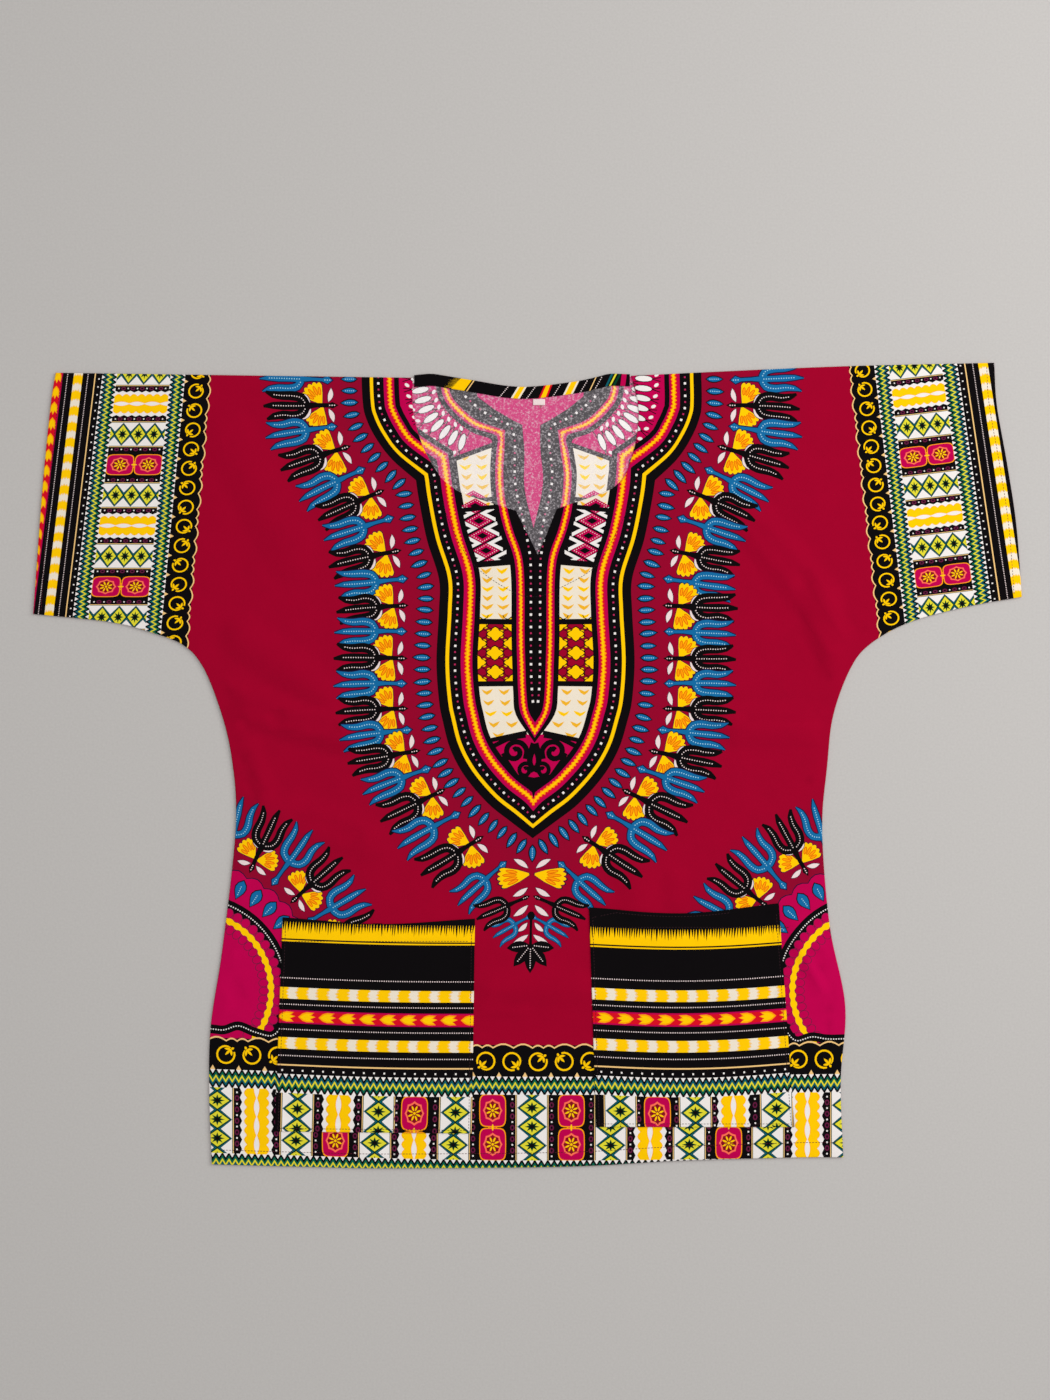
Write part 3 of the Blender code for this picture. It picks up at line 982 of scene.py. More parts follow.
@dataclass(frozen=True)
class Sun:
    """A magenta half disc at a lower corner, ringed with lace, drops and tulips.

    Attributes:
        centre: The disc's centre.
        first: The angle, in degrees, where its rings start.
        last: The angle where they end.
        first_drop: The angle of its first drop.
        first_stem: The angle of its first tulip.
        foot: The points of the black line along its lower side.
    """

    centre: tuple[float, float]
    first: float
    last: float
    first_drop: float
    first_stem: float
    foot: tuple[tuple[float, float], ...]

    def draw(self) -> Drawing:
        """The half disc and its fringe."""
        art = Drawing()
        self._scallop(art, 124.0, 4.2, 9.2, Ink.NAVY)
        self._scallop(art, 123.0, 4.2, 9.2, Ink.MAGENTA)
        chance = random.Random(SEED)
        direction = 1 if self.last > self.first else -1
        turn, black = self.first_stem, False
        while (turn - self.last) * direction < 0:
            foot = Knots.spot(131.0, 0.0, turn)
            if black:
                art.add(Posy().draw(chance.uniform(-1, 1), 1.25), foot, turn, 0.94)
            else:
                art.add(BLUE_TULIP.draw(chance.uniform(-1, 1), 1.35), foot, turn, 0.94)
            turn, black = turn + 11.3 * direction, not black
        turn = self.first_drop
        while (turn - self.last) * direction < 0:
            foot = Knots.spot(99.5, 0.0, turn)
            art.add(Drop(22.0, 12.6, 1.1, 0.8, 1.3).draw(), foot, turn)
            turn += 9.2 * direction
        art.fill(Knots.ellipse((0, 0), 97, 97, 0, 72), Ink.BLACK)
        self._arc_dots(art, 91.8, 2.6, 1.25, Ink.WHITE)
        for radius, ink in ((86.5, Ink.MAGENTA), (80.5, Ink.YELLOW), (74.0, Ink.MAGENTA)):
            art.fill(Knots.ellipse((0, 0), radius, radius, 0, 72), ink)
        for row, radius in enumerate((70.2, 84.6)):
            for step in np.arange(min(self.first, self.last), max(self.first, self.last), 6.6):
                spot = Knots.spot(radius, 0.0, step)
                art.fill(Knots.ellipse(spot, 5.2, 4.2 + 0.6 * row, step, 12), Ink.PLUM)
                art.fill(Knots.ellipse(spot, 4.6, 3.7 + 0.6 * row, step, 12), Ink.MAGENTA)
        foot = np.array(self.foot) - self.centre
        art.fill(Knots.stroke(foot, 9.0), Ink.BLACK)
        art.dots(Knots.smooth(foot), 2.6, 1.25, Ink.WHITE)
        return Drawing([(outline + self.centre, ink) for outline, ink in art.shapes])

    def _scallop(self, art: Drawing, radius: float, rise: float, pitch: float, ink: Ink) -> None:
        """A disc with a scalloped edge."""
        lobes = round(360 / pitch)
        turn = np.arange(lobes * 4) * math.tau / (lobes * 4)
        reach = radius + rise * np.abs(np.sin(turn * lobes / 2))
        art.fill(np.stack([reach * np.cos(turn), reach * np.sin(turn)], 1), ink)

    def _arc_dots(self, art: Drawing, radius: float, pitch: float, size: float, ink: Ink) -> None:
        """Small squares along an arc."""
        turns = np.radians(np.linspace(self.first, self.last, 60))
        art.dots(np.stack([radius * np.cos(turns), radius * np.sin(turns)], 1), pitch, size, ink)


class PanelPrint:
    """The whole print of one panel, front or back."""

    CENTRE_LINE = (
        (-430, 2.0), (-205, 2.5), (-55, 5.5), (-5, 6.5), (65, 8.0), (285, 8.0), (325, 6.0), (385, 4.0),
        (440, 4.0),
    )
    HEM_LINE = ((-340, -386), (-200, -390.5), (-60, -394), (60, -394.5), (200, -393), (340, -391.5))
    TILE_PITCH = 39.3
    SUNS = (
        Sun((-333.5, -224.5), 92, -60, 65.3, 75.9, (
            (-345, -262), (-317, -263), (-303, -264), (-289, -260), (-273, -266), (-256, -270),
            (-247, -262), (-243, -250),
        )),
        Sun((342.0, -224.5), 88, 240, 117.4, 107.0, (
            (350, -272), (315, -273), (298, -273), (284, -271), (270, -275), (262, -270), (254, -256),
        )),
    )

    def draw(self, shift: Sequence = (0.0, 0.0)) -> Drawing:
        """The panel's print.

        Args:
            shift: How far the print has slipped sideways and upwards on this panel, in millimetres.

        Returns:
            The drawing, in the frame's plane.
        """
        art = Drawing()
        motif = NeckMotif().draw().bent(self._follow_centre)
        parts = [sun.draw() for sun in self.SUNS]
        parts += [self._sleeve(-1), self._sleeve(1), self._hem(), motif]
        for part in parts:
            art.shapes += part.shapes
        return art.bent(lambda spots: spots + np.asarray(shift))

    def _follow_centre(self, spots: np.ndarray) -> np.ndarray:
        """Places beside the centre line moved to where that line runs."""
        line = np.array(self.CENTRE_LINE, float)
        return np.stack([spots[:, 0] + np.interp(spots[:, 1], line[:, 0], line[:, 1]), spots[:, 1]], 1)

    def _hem(self) -> Drawing:
        """The border along the hem."""
        tiles = []
        for index in range(-9, 10):
            kind = Tile.DIAMONDS
            if index % 2:
                kind = Tile.MEDALLIONS if abs(index) % 4 == 1 else Tile.WAVES
            tiles.append((index * self.TILE_PITCH, kind))
        line = Knots.smooth(self.HEM_LINE, 20)

        def lay(spots: np.ndarray) -> np.ndarray:
            """The border's own places laid along the hem."""
            x = spots[:, 0] + 4.5
            return np.stack([x, np.interp(x, line[:, 0], line[:, 1]) - spots[:, 1]], 1)

        return Border(-345, 336, tiles, outer_reach=18.0).draw().bent(lay)

    def _sleeve(self, side: int) -> Drawing:
        """The border along one cuff.

        Args:
            side: -1 for the left sleeve and 1 for the right one.

        Returns:
            The border's drawing in place.
        """
        order = (Tile.DIAMONDS, Tile.WAVES, Tile.DIAMONDS, Tile.MEDALLIONS)
        tiles = [((1 - index) * self.TILE_PITCH, order[index % 4]) for index in range(9)]
        lean_out, lean_in, rise = (7.0, 5.0, 0.0) if side < 0 else (8.6, 6.3, 7.0)
        edge, top, scale, outer = (-410.0, 390.5, 0.815, 0.815) if side < 0 else (413.5, 400.5, 0.793, 0.86)
        first = 361.5 if side < 0 else 372.5

        def lay(spots: np.ndarray) -> np.ndarray:
            """The border's own places laid along the cuff."""
            y = first + spots[:, 0] * 0.775
            lean = np.interp(spots[:, 1], (-112, 18 if side < 0 else 50), (lean_in, lean_out))
            away = spots[:, 1] * np.where(spots[:, 1] > 0, outer, scale)
            x = edge + side * away + side * (top - y) * np.tan(np.radians(lean))
            return np.stack([x, y + (x - edge) * math.tan(math.radians(rise))], 1)

        return Border(-320, 72, tiles, outer_reach=81.0, ring_pitch=24.9).draw().bent(lay)


@dataclass(frozen=True)
class PocketPrint:
    """The print of one patch pocket, cut from the width of the border.

    Attributes:
        tiles_top: Where the middle of the tiles' upper edge lies.
        tilt: How far the print is turned, in degrees.
        direction: Which way its arrows point along x.
        tiles: The middles and the patterns of its tiles.
        mouth: How far the yellow under its mouth is moved upwards.
        scale: The print's scale up the pocket.
        sag: How far the middle of the print hangs down.
    """

    tiles_top: tuple[float, float]
    tilt: float
    direction: int
    tiles: tuple[tuple[float, Tile], ...]
    mouth: float
    scale: float = 1.05
    sag: float = 1.5

    def draw(self) -> Drawing:
        """The pocket's print, in the frame's plane."""
        art = Border(-120, 120, self.tiles, self.direction, 132.0, inner=False).draw()
        self._mouth(art)
        middle = np.array(self.tiles_top)

        def lay(spots: np.ndarray) -> np.ndarray:
            """The print's places turned and sagged on the panel."""
            low = self.sag * np.cos(np.clip(spots[:, 0] / 104, -1, 1) * math.pi / 2)
            return Knots.turned(spots * (1.0, self.scale), self.tilt) + middle - np.stack([low * 0, low], 1)

        return art.bent(lay)

    def _mouth(self, art: Drawing) -> None:
        """Black, a thin and a broad yellow band, and black brush strokes that reach into the broad one."""
        x = np.linspace(-120, 120, 13)
        for low, high, ink, shift in (
            (126.0, 190.0, Ink.BLACK, 0.0),
            (141.6, 143.0, Ink.YELLOW, self.mouth),
            (144.4, 166.0, Ink.YELLOW, self.mouth),
        ):
            near = np.stack([x, np.full_like(x, low + shift)], 1)
            far = np.stack([x, np.full_like(x, high + shift)], 1)
            art.fill(np.vstack([near, far[::-1]]), ink)
        chance = random.Random(SEED + self.direction)
        teeth = [(-120.0, 190.0)]
        place, root = -120.0, 160.5 + self.mouth
        while place < 120:
            wide = chance.uniform(1.8, 3.0)
            slant = chance.uniform(-1.2, 0.4)
            low = chance.uniform(148.5, 154.0) + self.mouth
            teeth += [(place, root), (place + wide * 0.5 + slant, low), (place + wide, root)]
            place += wide + 0.25
        teeth.append((120.0, 190.0))
        art.fill(np.array(teeth)[::-1], Ink.BLACK)


class FacingPrint:
    """The bias-cut print of the neck facing: leaning stripes, each from its lower and its upper place."""

    STRIPES = (
        (-77.5, -64.5, -65.5, -54.5, Ink.YELLOW),
        (-62.5, -61.3, -53.0, -51.8, Ink.TAN),
        (-17.5, -8.5, -8.5, 0.5, Ink.CREAM),
        (-15.5, -10.5, -6.5, -1.5, Ink.YELLOW),
        (10.5, 19.5, 17.5, 25.5, Ink.RED),
        (12.5, 17.5, 19.5, 23.5, Ink.YELLOW),
        (34.5, 44.5, 42.5, 52.5, Ink.CREAM),
        (36.5, 42.5, 44.5, 50.5, Ink.YELLOW),
        (60.5, 61.7, 68.5, 69.7, Ink.TAN),
        (76.5, 78.8, 84.5, 86.8, Ink.TEAL),
        (80.5, 82.6, 88.5, 90.6, Ink.LIME),
        (84.5, 86.8, 92.5, 94.8, Ink.GREEN),
        (92.5, 97.5, 94.5, 99.5, Ink.MAGENTA),
    )
    DOTTED = ((-27.5, -18.5), (-0.5, 8.5), (25.5, 33.5), (52.5, 60.5), (67.0, 75.0))

    def draw(self) -> Drawing:
        """The facing's print over its lower edge, from 0 to 13 mm."""
        art = Drawing()
        for low_left, low_right, high_left, high_right, ink in self.STRIPES:
            art.fill([(low_left, -1), (low_right, -1), (high_right, 14), (high_left, 14)], ink)
        for low, high in self.DOTTED:
            art.dots(np.array([(low, 0.6), (high, 12.6)]), 2.1, 1.0, Ink.PETAL)
        chance = random.Random(SEED)
        for index in range(9):
            x, y = -84 + 1.1 * index + chance.uniform(-2, 2), 1.5 + 1.25 * index
            art.fill([(x, y), (x + 15, y + 0.5), (x + 15, y - 0.4)], Ink.YELLOW)
        return art


class Outline:
    """A closed outline, anticlockwise, in metres."""

    CORNER = math.radians(24)

    def __init__(self, points: np.ndarray) -> None:
        """Keeps the points."""
        self.points = points

    @classmethod
    def of_node(cls, node: str, step: float) -> "Outline":
        """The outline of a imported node, rounded between its corners.

        Args:
            node: The node's name.
            step: The longest distance between the new outline's points.

        Returns:
            The outline.
        """
        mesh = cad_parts[node].data
        spots = np.array([vertex.co for vertex in mesh.vertices]).round(5)
        places, merged = np.unique(spots, axis=0, return_inverse=True)
        merged = merged.reshape(-1)
        under = [[merged[i] for i in face.vertices] for face in mesh.polygons if face.normal.z < -0.3]
        loop = border_loop(np.array(under))
        knots = places[loop][:, :2]
        if np.sum(knots[:, 0] * np.roll(knots[:, 1], -1) - np.roll(knots[:, 0], -1) * knots[:, 1]) < 0:
            knots = knots[::-1]
        way = np.roll(knots, -1, axis=0) - knots
        turn = np.arctan2(way[:, 1], way[:, 0])
        bend = np.abs((turn - np.roll(turn, 1) + np.pi) % math.tau - np.pi)
        corners = np.flatnonzero(bend > cls.CORNER)
        parts = []
        for first, last in zip(corners, np.roll(corners, -1)):
            last = last if last > first else last + len(knots)
            stretch = knots[np.arange(first, last + 1) % len(knots)]
            parts.append(Knots.smooth(stretch, step)[:-1])
        return cls(np.vstack(parts))

    def inset(self, distance: float) -> np.ndarray:
        """The outline's points moved inwards."""
        way = np.roll(self.points, -1, axis=0) - np.roll(self.points, 1, axis=0)
        way /= np.hypot(way[:, 0], way[:, 1])[:, None]
        return self.points + np.stack([-way[:, 1], way[:, 0]], 1) * distance

    def measure(self, spots: np.ndarray) -> tuple[np.ndarray, np.ndarray]:
        """How far points lie from the outline, and the directions away from it.

        Args:
            spots: The points.

        Returns:
            The distances, and unit vectors away from the nearest place of the outline.
        """
        start, side = self.points, np.roll(self.points, -1, axis=0) - self.points
        square = (side**2).sum(1)
        distances, ways = [], []
        for chunk in np.array_split(spots, max(1, len(spots) // 3000)):
            away = chunk[:, None] - start[None]
            share = np.clip((away * side).sum(2) / square, 0, 1)
            away = away - share[..., None] * side
            apart = (away**2).sum(2)
            nearest = apart.argmin(1)
            rows = np.arange(len(chunk))
            distance = np.sqrt(apart[rows, nearest])
            normal = np.stack([-side[nearest, 1], side[nearest, 0]], 1) / np.sqrt(square[nearest])[:, None]
            straight = away[rows, nearest] / np.maximum(distance, 1e-9)[:, None]
            way = np.where(distance[:, None] > 1e-5, straight, normal)
            distances.append(distance)
            ways.append(way)
        return np.concatenate(distances), np.vstack(ways)


def border_loop(triangles: np.ndarray) -> list[int]:
    """The points round the border of a net of triangles, in order."""
    sides = np.vstack([triangles[:, [0, 1]], triangles[:, [1, 2]], triangles[:, [2, 0]]])
    key = np.sort(sides, axis=1)
    _, first, count = np.unique(key, axis=0, return_index=True, return_counts=True)
    follow = {int(a): int(b) for a, b in sides[first[count == 1]]}
    start = min(follow)
    loop, at = [start], follow[start]
    while at != start:
        loop.append(at)
        at = follow[at]
    return loop


@dataclass
class Net:
    """Flat cloth cut into triangles, each with the number of its ink, and its border's points in order."""

    points: np.ndarray
    triangles: np.ndarray
    inks: np.ndarray
    loop: list[int]

    @classmethod
    def cut(cls, outline: Outline, art: Drawing, spacing: float, rims: Sequence[float] = ()) -> "Net":
        """Cuts cloth along an outline, its rims and the edges of its print.

        Args:
            outline: The cloth's outline.
            art: Its print, in millimetres.
            spacing: The distance between the points of its ground.
            rims: How far inside the outline extra lines run.

        Returns:
            The net.
        """
        places = [tuple(spot) for spot in outline.points]
        faces = [list(range(len(places)))]
        inks = [0]
        order = list(Ink)
        low, high = outline.points.min(0), outline.points.max(0)
        for shape, ink in art.shapes:
            spots = cls._clean(shape * MM)
            if len(spots) < 3 or (spots.max(0) < low).any() or (spots.min(0) > high).any():
                continue
            faces.append(list(range(len(places), len(places) + len(spots))))
            places.extend(map(tuple, spots))
            inks.append(order.index(ink))
        edges = []
        for rim in rims:
            spots = outline.inset(rim)
            first = len(places)
            edges += [(first + i, first + (i + 1) % len(spots)) for i in range(len(spots))]
            places.extend(map(tuple, spots))
        places.extend(map(tuple, cls._ground(np.array(places), low, high, spacing)))
        points, _, triangles, _, _, owners = delaunay_2d_cdt(places, edges, faces, 1, 2e-6, True)
        kept, colours = [], []
        for triangle, owner in zip(triangles, owners):
            if 0 in owner:
                kept.append(triangle)
                colours.append(inks[max(owner)])
        points = np.array([tuple(point) for point in points])
        kept = np.array(kept)
        used, kept = np.unique(kept, return_inverse=True)
        kept = kept.reshape(-1, 3)
        return cls(points[used], kept, np.array(colours), border_loop(kept))

    @staticmethod
    def _clean(spots: np.ndarray) -> np.ndarray:
        """An outline without repeated points, anticlockwise."""
        gap = np.hypot(*(spots - np.roll(spots, 1, axis=0)).T)
        spots = spots[gap > 2e-5]
        area = np.sum(spots[:, 0] * np.roll(spots[:, 1], -1) - np.roll(spots[:, 0], -1) * spots[:, 1])
        return spots if area > 0 else spots[::-1]

    @staticmethod
    def _ground(taken: np.ndarray, low: np.ndarray, high: np.ndarray, spacing: float) -> np.ndarray:
        """A staggered lattice of points, without those near points that are there already."""
        rows = np.arange(low[1], high[1], spacing * 0.866)
        columns = np.arange(low[0], high[0], spacing)
        x, y = np.meshgrid(columns, rows)
        x = x + (np.arange(len(rows)) % 2 * spacing / 2)[:, None]
        lattice = np.stack([x.ravel(), y.ravel()], 1)
        cell = spacing * 0.7
        full = {tuple(spot) for spot in np.floor(taken / cell).astype(int)}
        free = [tuple(spot) not in full for spot in np.floor(lattice / cell).astype(int)]
        return lattice[np.array(free)]


@dataclass(frozen=True)
class Fold:
    """A soft ridge, or a trough where its height is negative, between two points, in metres."""

    start: tuple[float, float]
    end: tuple[float, float]
    height: float
    half_width: float

    def rise(self, spots: np.ndarray) -> np.ndarray:
        """The fold's height at points."""
        start, side = np.array(self.start), np.subtract(self.end, self.start)
        share = np.clip((spots - start) @ side / (side @ side), 0, 1)
        away = np.hypot(*(spots - start - share[:, None] * side).T) / self.half_width
        return self.height * np.clip(1 - away**2, 0, 1) ** 2


@dataclass
class Lay:
    """How the front lies: its large folds, its finer creases and its unevenness."""

    base: float
    wall: float = 1.0 * MM
    seam_fade: float = 30 * MM
    crease_fade: float = 12 * MM
    folds: tuple[Fold, ...] = (
        Fold((-0.285, 0.128), (-0.205, 0.072), 0.0035, 0.028),
        Fold((-0.300, 0.066), (-0.180, 0.030), 0.0055, 0.026),
        Fold((-0.286, 0.015), (-0.262, -0.040), 0.0030, 0.024),
        Fold((-0.240, -0.050), (-0.165, -0.072), 0.0030, 0.030),
        Fold((0.215, 0.255), (0.290, 0.165), 0.0045, 0.030),
        Fold((0.290, 0.165), (0.312, 0.105), 0.0060, 0.026),
        Fold((0.200, 0.046), (0.285, 0.043), 0.0035, 0.024),
        Fold((0.106, -0.105), (0.112, -0.142), 0.0025, 0.026),
        Fold((-0.034, -0.222), (0.048, -0.221), 0.0025, 0.024),
        Fold((0.272, -0.165), (0.300, -0.205), 0.0035, 0.024),
        Fold((-0.300, 0.330), (-0.235, 0.215), 0.0025, 0.034),
    )
    creases: tuple[Fold, ...] = (
        Fold((-0.306, 0.071), (-0.252, 0.049), -0.0016, 0.013),
        Fold((-0.252, 0.049), (-0.196, 0.038), -0.0020, 0.012),
        Fold((-0.290, 0.018), (-0.272, -0.030), -0.0013, 0.011),
        Fold((-0.228, -0.055), (-0.174, -0.069), -0.0012, 0.014),
        Fold((0.228, 0.236), (0.275, 0.186), -0.0014, 0.014),
        Fold((0.275, 0.186), (0.306, 0.124), -0.0020, 0.013),
        Fold((0.218, 0.046), (0.300, 0.045), -0.0014, 0.010),
        Fold((0.212, 0.025), (0.281, 0.025), 0.0012, 0.012),
        Fold((0.286, -0.190), (0.310, -0.236), -0.0022, 0.011),
        Fold((0.270, -0.180), (0.292, -0.222), 0.0012, 0.011),
        Fold((-0.300, -0.208), (-0.288, -0.232), -0.0012, 0.012),
        Fold((-0.044, -0.243), (-0.008, -0.247), 0.0010, 0.010),
        Fold((0.148, -0.112), (0.150, -0.136), 0.0012, 0.016),
    )

    def _waves(self, spots: np.ndarray) -> np.ndarray:
        """Long, low waves of slack cloth, never below zero."""
        chance = random.Random(SEED)
        total = np.zeros(len(spots))
        for _ in range(9):
            turn, length = chance.uniform(0, math.tau), chance.uniform(0.07, 0.24)
            phase = (spots[:, 0] * math.cos(turn) + spots[:, 1] * math.sin(turn)) / length + chance.random()
            total += 0.5 + 0.5 * np.sin(phase * math.tau)
        return total / 9 * 1.3 * MM

    def rise(self, spots: np.ndarray, inside: np.ndarray) -> np.ndarray:
        """How far the front stands off the back.

        Args:
            spots: The places.
            inside: How far they lie inside the outline.

        Returns:
            The heights.
        """
        ridges = np.zeros(len(spots))
        for fold in self.folds:
            ridges = np.hypot(ridges, fold.rise(spots))
        fine = self._waves(spots) + sum(fold.rise(spots) for fold in self.creases)
        large = ridges * eased(inside / self.seam_fade)
        return np.maximum(large + fine * eased(inside / self.crease_fade), 0)

    def under(self, spots: np.ndarray, inside: np.ndarray) -> np.ndarray:
        """The front's underside."""
        return self.base + self.rise(spots, inside)

    def top(self, spots: np.ndarray, inside: np.ndarray) -> np.ndarray:
        """The front's upper side, with the turned edge's ridge and its round rim."""
        return self.under(spots, inside) + self.wall + edge_profile(inside, self.wall, 15 * MM)


def eased(share: np.ndarray) -> np.ndarray:
    """A share from 0 to 1 with soft ends."""
    share = np.clip(share, 0, 1)
    return share * share * (3 - 2 * share)


def edge_profile(inside: np.ndarray, wall: float, turned: float) -> np.ndarray:
    """What a turned and stitched edge adds to a sheet's upper side.

    Args:
        inside: How far places lie inside the outline.
        wall: The sheet's thickness.
        turned: The width of the turned edge.

    Returns:
        The heights, below zero on the round rim.
    """
    rim = -0.55 * wall * (1 - np.sin(np.clip(inside / (0.9 * wall), 0, 1) * math.pi / 2))
    ridge = 0.28 * MM * (1 - eased((inside - turned) / (1.6 * MM)))
    return rim + ridge


@dataclass
class ClothShell:
    """A closed shell of dyed cloth: an upper net and an under net, joined round the rim."""

    name: str
    outline: Outline
    upper: Net
    under: Net
    top: Height
    bottom: Height
    upper_dye: Dye
    under_dye: Dye

    def build(self, upper_finish: bpy.types.Material, under_finish: bpy.types.Material) -> bpy.types.Object:
        """The shell as an object.

        Args:
            upper_finish: The upper side's material.
            under_finish: The underside's material.

        Returns:
            The object.
        """
        high, high_normals = self._raised(self.upper.points, self.top, 1.0)
        low, low_normals = self._raised(self.under.points, self.bottom, -1.0)
        count = len(high)
        rim, rim_inks = self._rim(count)
        triangles = np.vstack([self.upper.triangles, self.under.triangles[:, ::-1] + count, rim])
        mesh = bpy.data.meshes.new(self.name)
        mesh.from_pydata(np.vstack([high, low]).tolist(), [], triangles.tolist())
        flat = np.vstack([self.upper.points, self.under.points])
        corners = triangles.reshape(-1)
        split = len(self.upper.triangles) * 3
        after = split + len(self.under.triangles) * 3
        dye = np.ones((len(corners), 4), np.float32)
        dye[:split, :3] = self.upper_dye(np.repeat(self.upper.inks, 3), flat[corners[:split]])
        dye[split:after, :3] = self.under_dye(np.repeat(self.under.inks, 3), flat[corners[split:after]])
        dye[after:, :3] = self.upper_dye(np.repeat(rim_inks, 3), flat[corners[after:]])
        colours = mesh.color_attributes.new("dye", "FLOAT_COLOR", "CORNER")
        colours.data.foreach_set("color", dye.reshape(-1))
        self._lay_out(mesh, flat[corners], split, after)
        mesh.materials.append(upper_finish)
        mesh.materials.append(under_finish)
        sides = np.zeros(len(triangles), np.int32)
        sides[len(self.upper.triangles): len(self.upper.triangles) + len(self.under.triangles)] = 1
        mesh.polygons.foreach_set("material_index", sides)
        mesh.polygons.foreach_set("use_smooth", np.ones(len(triangles), bool))
        mesh.normals_split_custom_set_from_vertices(np.vstack([high_normals, low_normals]).tolist())
        piece = bpy.data.objects.new(self.name, mesh)
        bpy.context.scene.collection.objects.link(piece)
        log.info("%s: %d triangles", self.name, len(triangles))
        return piece

    def _raised(self, spots: np.ndarray, height: Height, facing: float) -> tuple[np.ndarray, np.ndarray]:
        """Flat points raised to a side of the cloth, and the side's directions there."""
        inside, way = self.outline.measure(spots)
        reach = 0.15 * MM
        slopes = []
        for axis in (0, 1):
            step = np.zeros(2)
            step[axis] = reach
            ahead = height(spots + step, inside + reach * way[:, axis])
            behind = height(spots - step, inside - reach * way[:, axis])
            slopes.append((ahead - behind) / (2 * reach))
        normals = np.stack([-slopes[0], -slopes[1], np.ones(len(spots))], 1) * facing
        normals /= np.sqrt((normals**2).sum(1))[:, None]
        return np.column_stack([spots, height(spots, inside)]), normals

    def _rim(self, count: int) -> tuple[np.ndarray, np.ndarray]:
        """The triangles that join both nets round the rim, and their inks."""
        ink_at = {}
        for triangle, ink in zip(self.upper.triangles, self.upper.inks):
            for point in triangle:
                ink_at[int(point)] = ink
        loops = []
        for net in (self.upper, self.under):
            spots = net.points[net.loop]
            first = int(np.argmin(np.hypot(*(spots - self.outline.points[0]).T)))
            loop = net.loop[first:] + net.loop[: first + 1]
            run = Knots.lengths(net.points[loop])
            loops.append((loop, run / run[-1]))
        (high, high_run), (low, low_run) = loops
        i = j = 0
        faces, inks = [], []
        while i < len(high) - 1 or j < len(low) - 1:
            if j == len(low) - 1 or (i < len(high) - 1 and high_run[i + 1] <= low_run[j + 1]):
                faces.append((low[j] + count, high[i + 1], high[i]))
                i += 1
            else:
                faces.append((low[j] + count, low[j + 1] + count, high[i]))
                j += 1
            inks.append(ink_at[high[i]])
        return np.array(faces), np.array(inks)

    def _lay_out(self, mesh: bpy.types.Mesh, flat: np.ndarray, split: int, after: int) -> None:
        """A layout of the cloth for baking: the upper side large, the underside beside it."""
        low, size = flat.min(0), np.ptp(flat, axis=0)
        spots = (flat - low) / size
        spots[:split] = spots[:split] * (0.98, 0.70) + (0.01, 0.01)
        spots[split:after] = spots[split:after] * (0.98, 0.25) + (0.01, 0.73)
        spots[after:] = spots[after:] * (0.98, 0.70) + (0.01, 0.01)
        layer = mesh.uv_layers.new(name="OFBake")
        layer.data.foreach_set("uv", spots.astype(np.float32).reshape(-1))


class Dyes:
    """What the inks look like on each side of the cloth."""

    BARE = 0.30
    CELL = 4.0

    def __init__(self) -> None:
        """Makes the table of linear colours."""
        table = np.array([ink.value for ink in Ink]) / 255
        self.table = self._linear(table)
        self.wrong = self._linear(table * (1 - self.BARE) + self.BARE * np.array((1.0, 0.98, 1.0)))
        self.crimson, self.wine = list(Ink).index(Ink.CRIMSON), list(Ink).index(Ink.WINE)
        self.frame = NECK_FRAME.at(0.0)

    @staticmethod
    def _linear(table: np.ndarray) -> np.ndarray:
        """Linear colours of sRGB ones."""
        return np.where(table <= 0.04045, table / 12.92, ((table + 0.055) / 1.055) ** 2.4)

    def right_side(self, inks: np.ndarray, spots: np.ndarray) -> np.ndarray:
        """The printed side's colours, with the ground darker round the neck motif.

        Args:
            inks: The number of the ink at each place.
            spots: The places, in metres.

        Returns:
            Linear colours.
        """
        colours = self.table[inks]
        ground = inks == self.crimson
        near = self._nearness(spots[ground])[:, None]
        colours[ground] += (self.table[self.wine] - self.table[self.crimson]) * near
        return colours

    def wrong_side(self, inks: np.ndarray, spots: np.ndarray) -> np.ndarray:
        """The unprinted side's colours, where the cloth's own white thins the inks."""
        return self.wrong[inks]

    def plain(self, ink: Ink) -> Dye:
        """A dye function of one ink."""
        return lambda inks, spots: np.broadcast_to(self.table[list(Ink).index(ink)], (len(inks), 3))

    def _nearness(self, spots: np.ndarray) -> np.ndarray:
        """How near places are to the neck motif or a half disc, from 1 beside it to 0 beyond its fringe."""
        centre = np.array(PanelPrint.CENTRE_LINE, float)
        y = spots[:, 1] / MM
        x = np.abs(spots[:, 0] / MM - np.interp(y, centre[:, 0], centre[:, 1]))
        cells = np.round(np.stack([x, y], 1) / self.CELL).astype(int)
        places, merged = np.unique(cells, axis=0, return_inverse=True)
        away = np.array([np.hypot(*(self.frame - place * self.CELL).T).min() for place in places])
        near = np.clip(1 - (away[merged.reshape(-1)] - 8) / 90, 0, 1) ** 1.3 * 0.75
        for sun in PanelPrint.SUNS:
            beyond = np.hypot(*(spots / MM - sun.centre).T) - 128
            near = np.maximum(near, np.clip(1 - beyond / 80, 0, 1) ** 1.3 * 0.85)
        return near


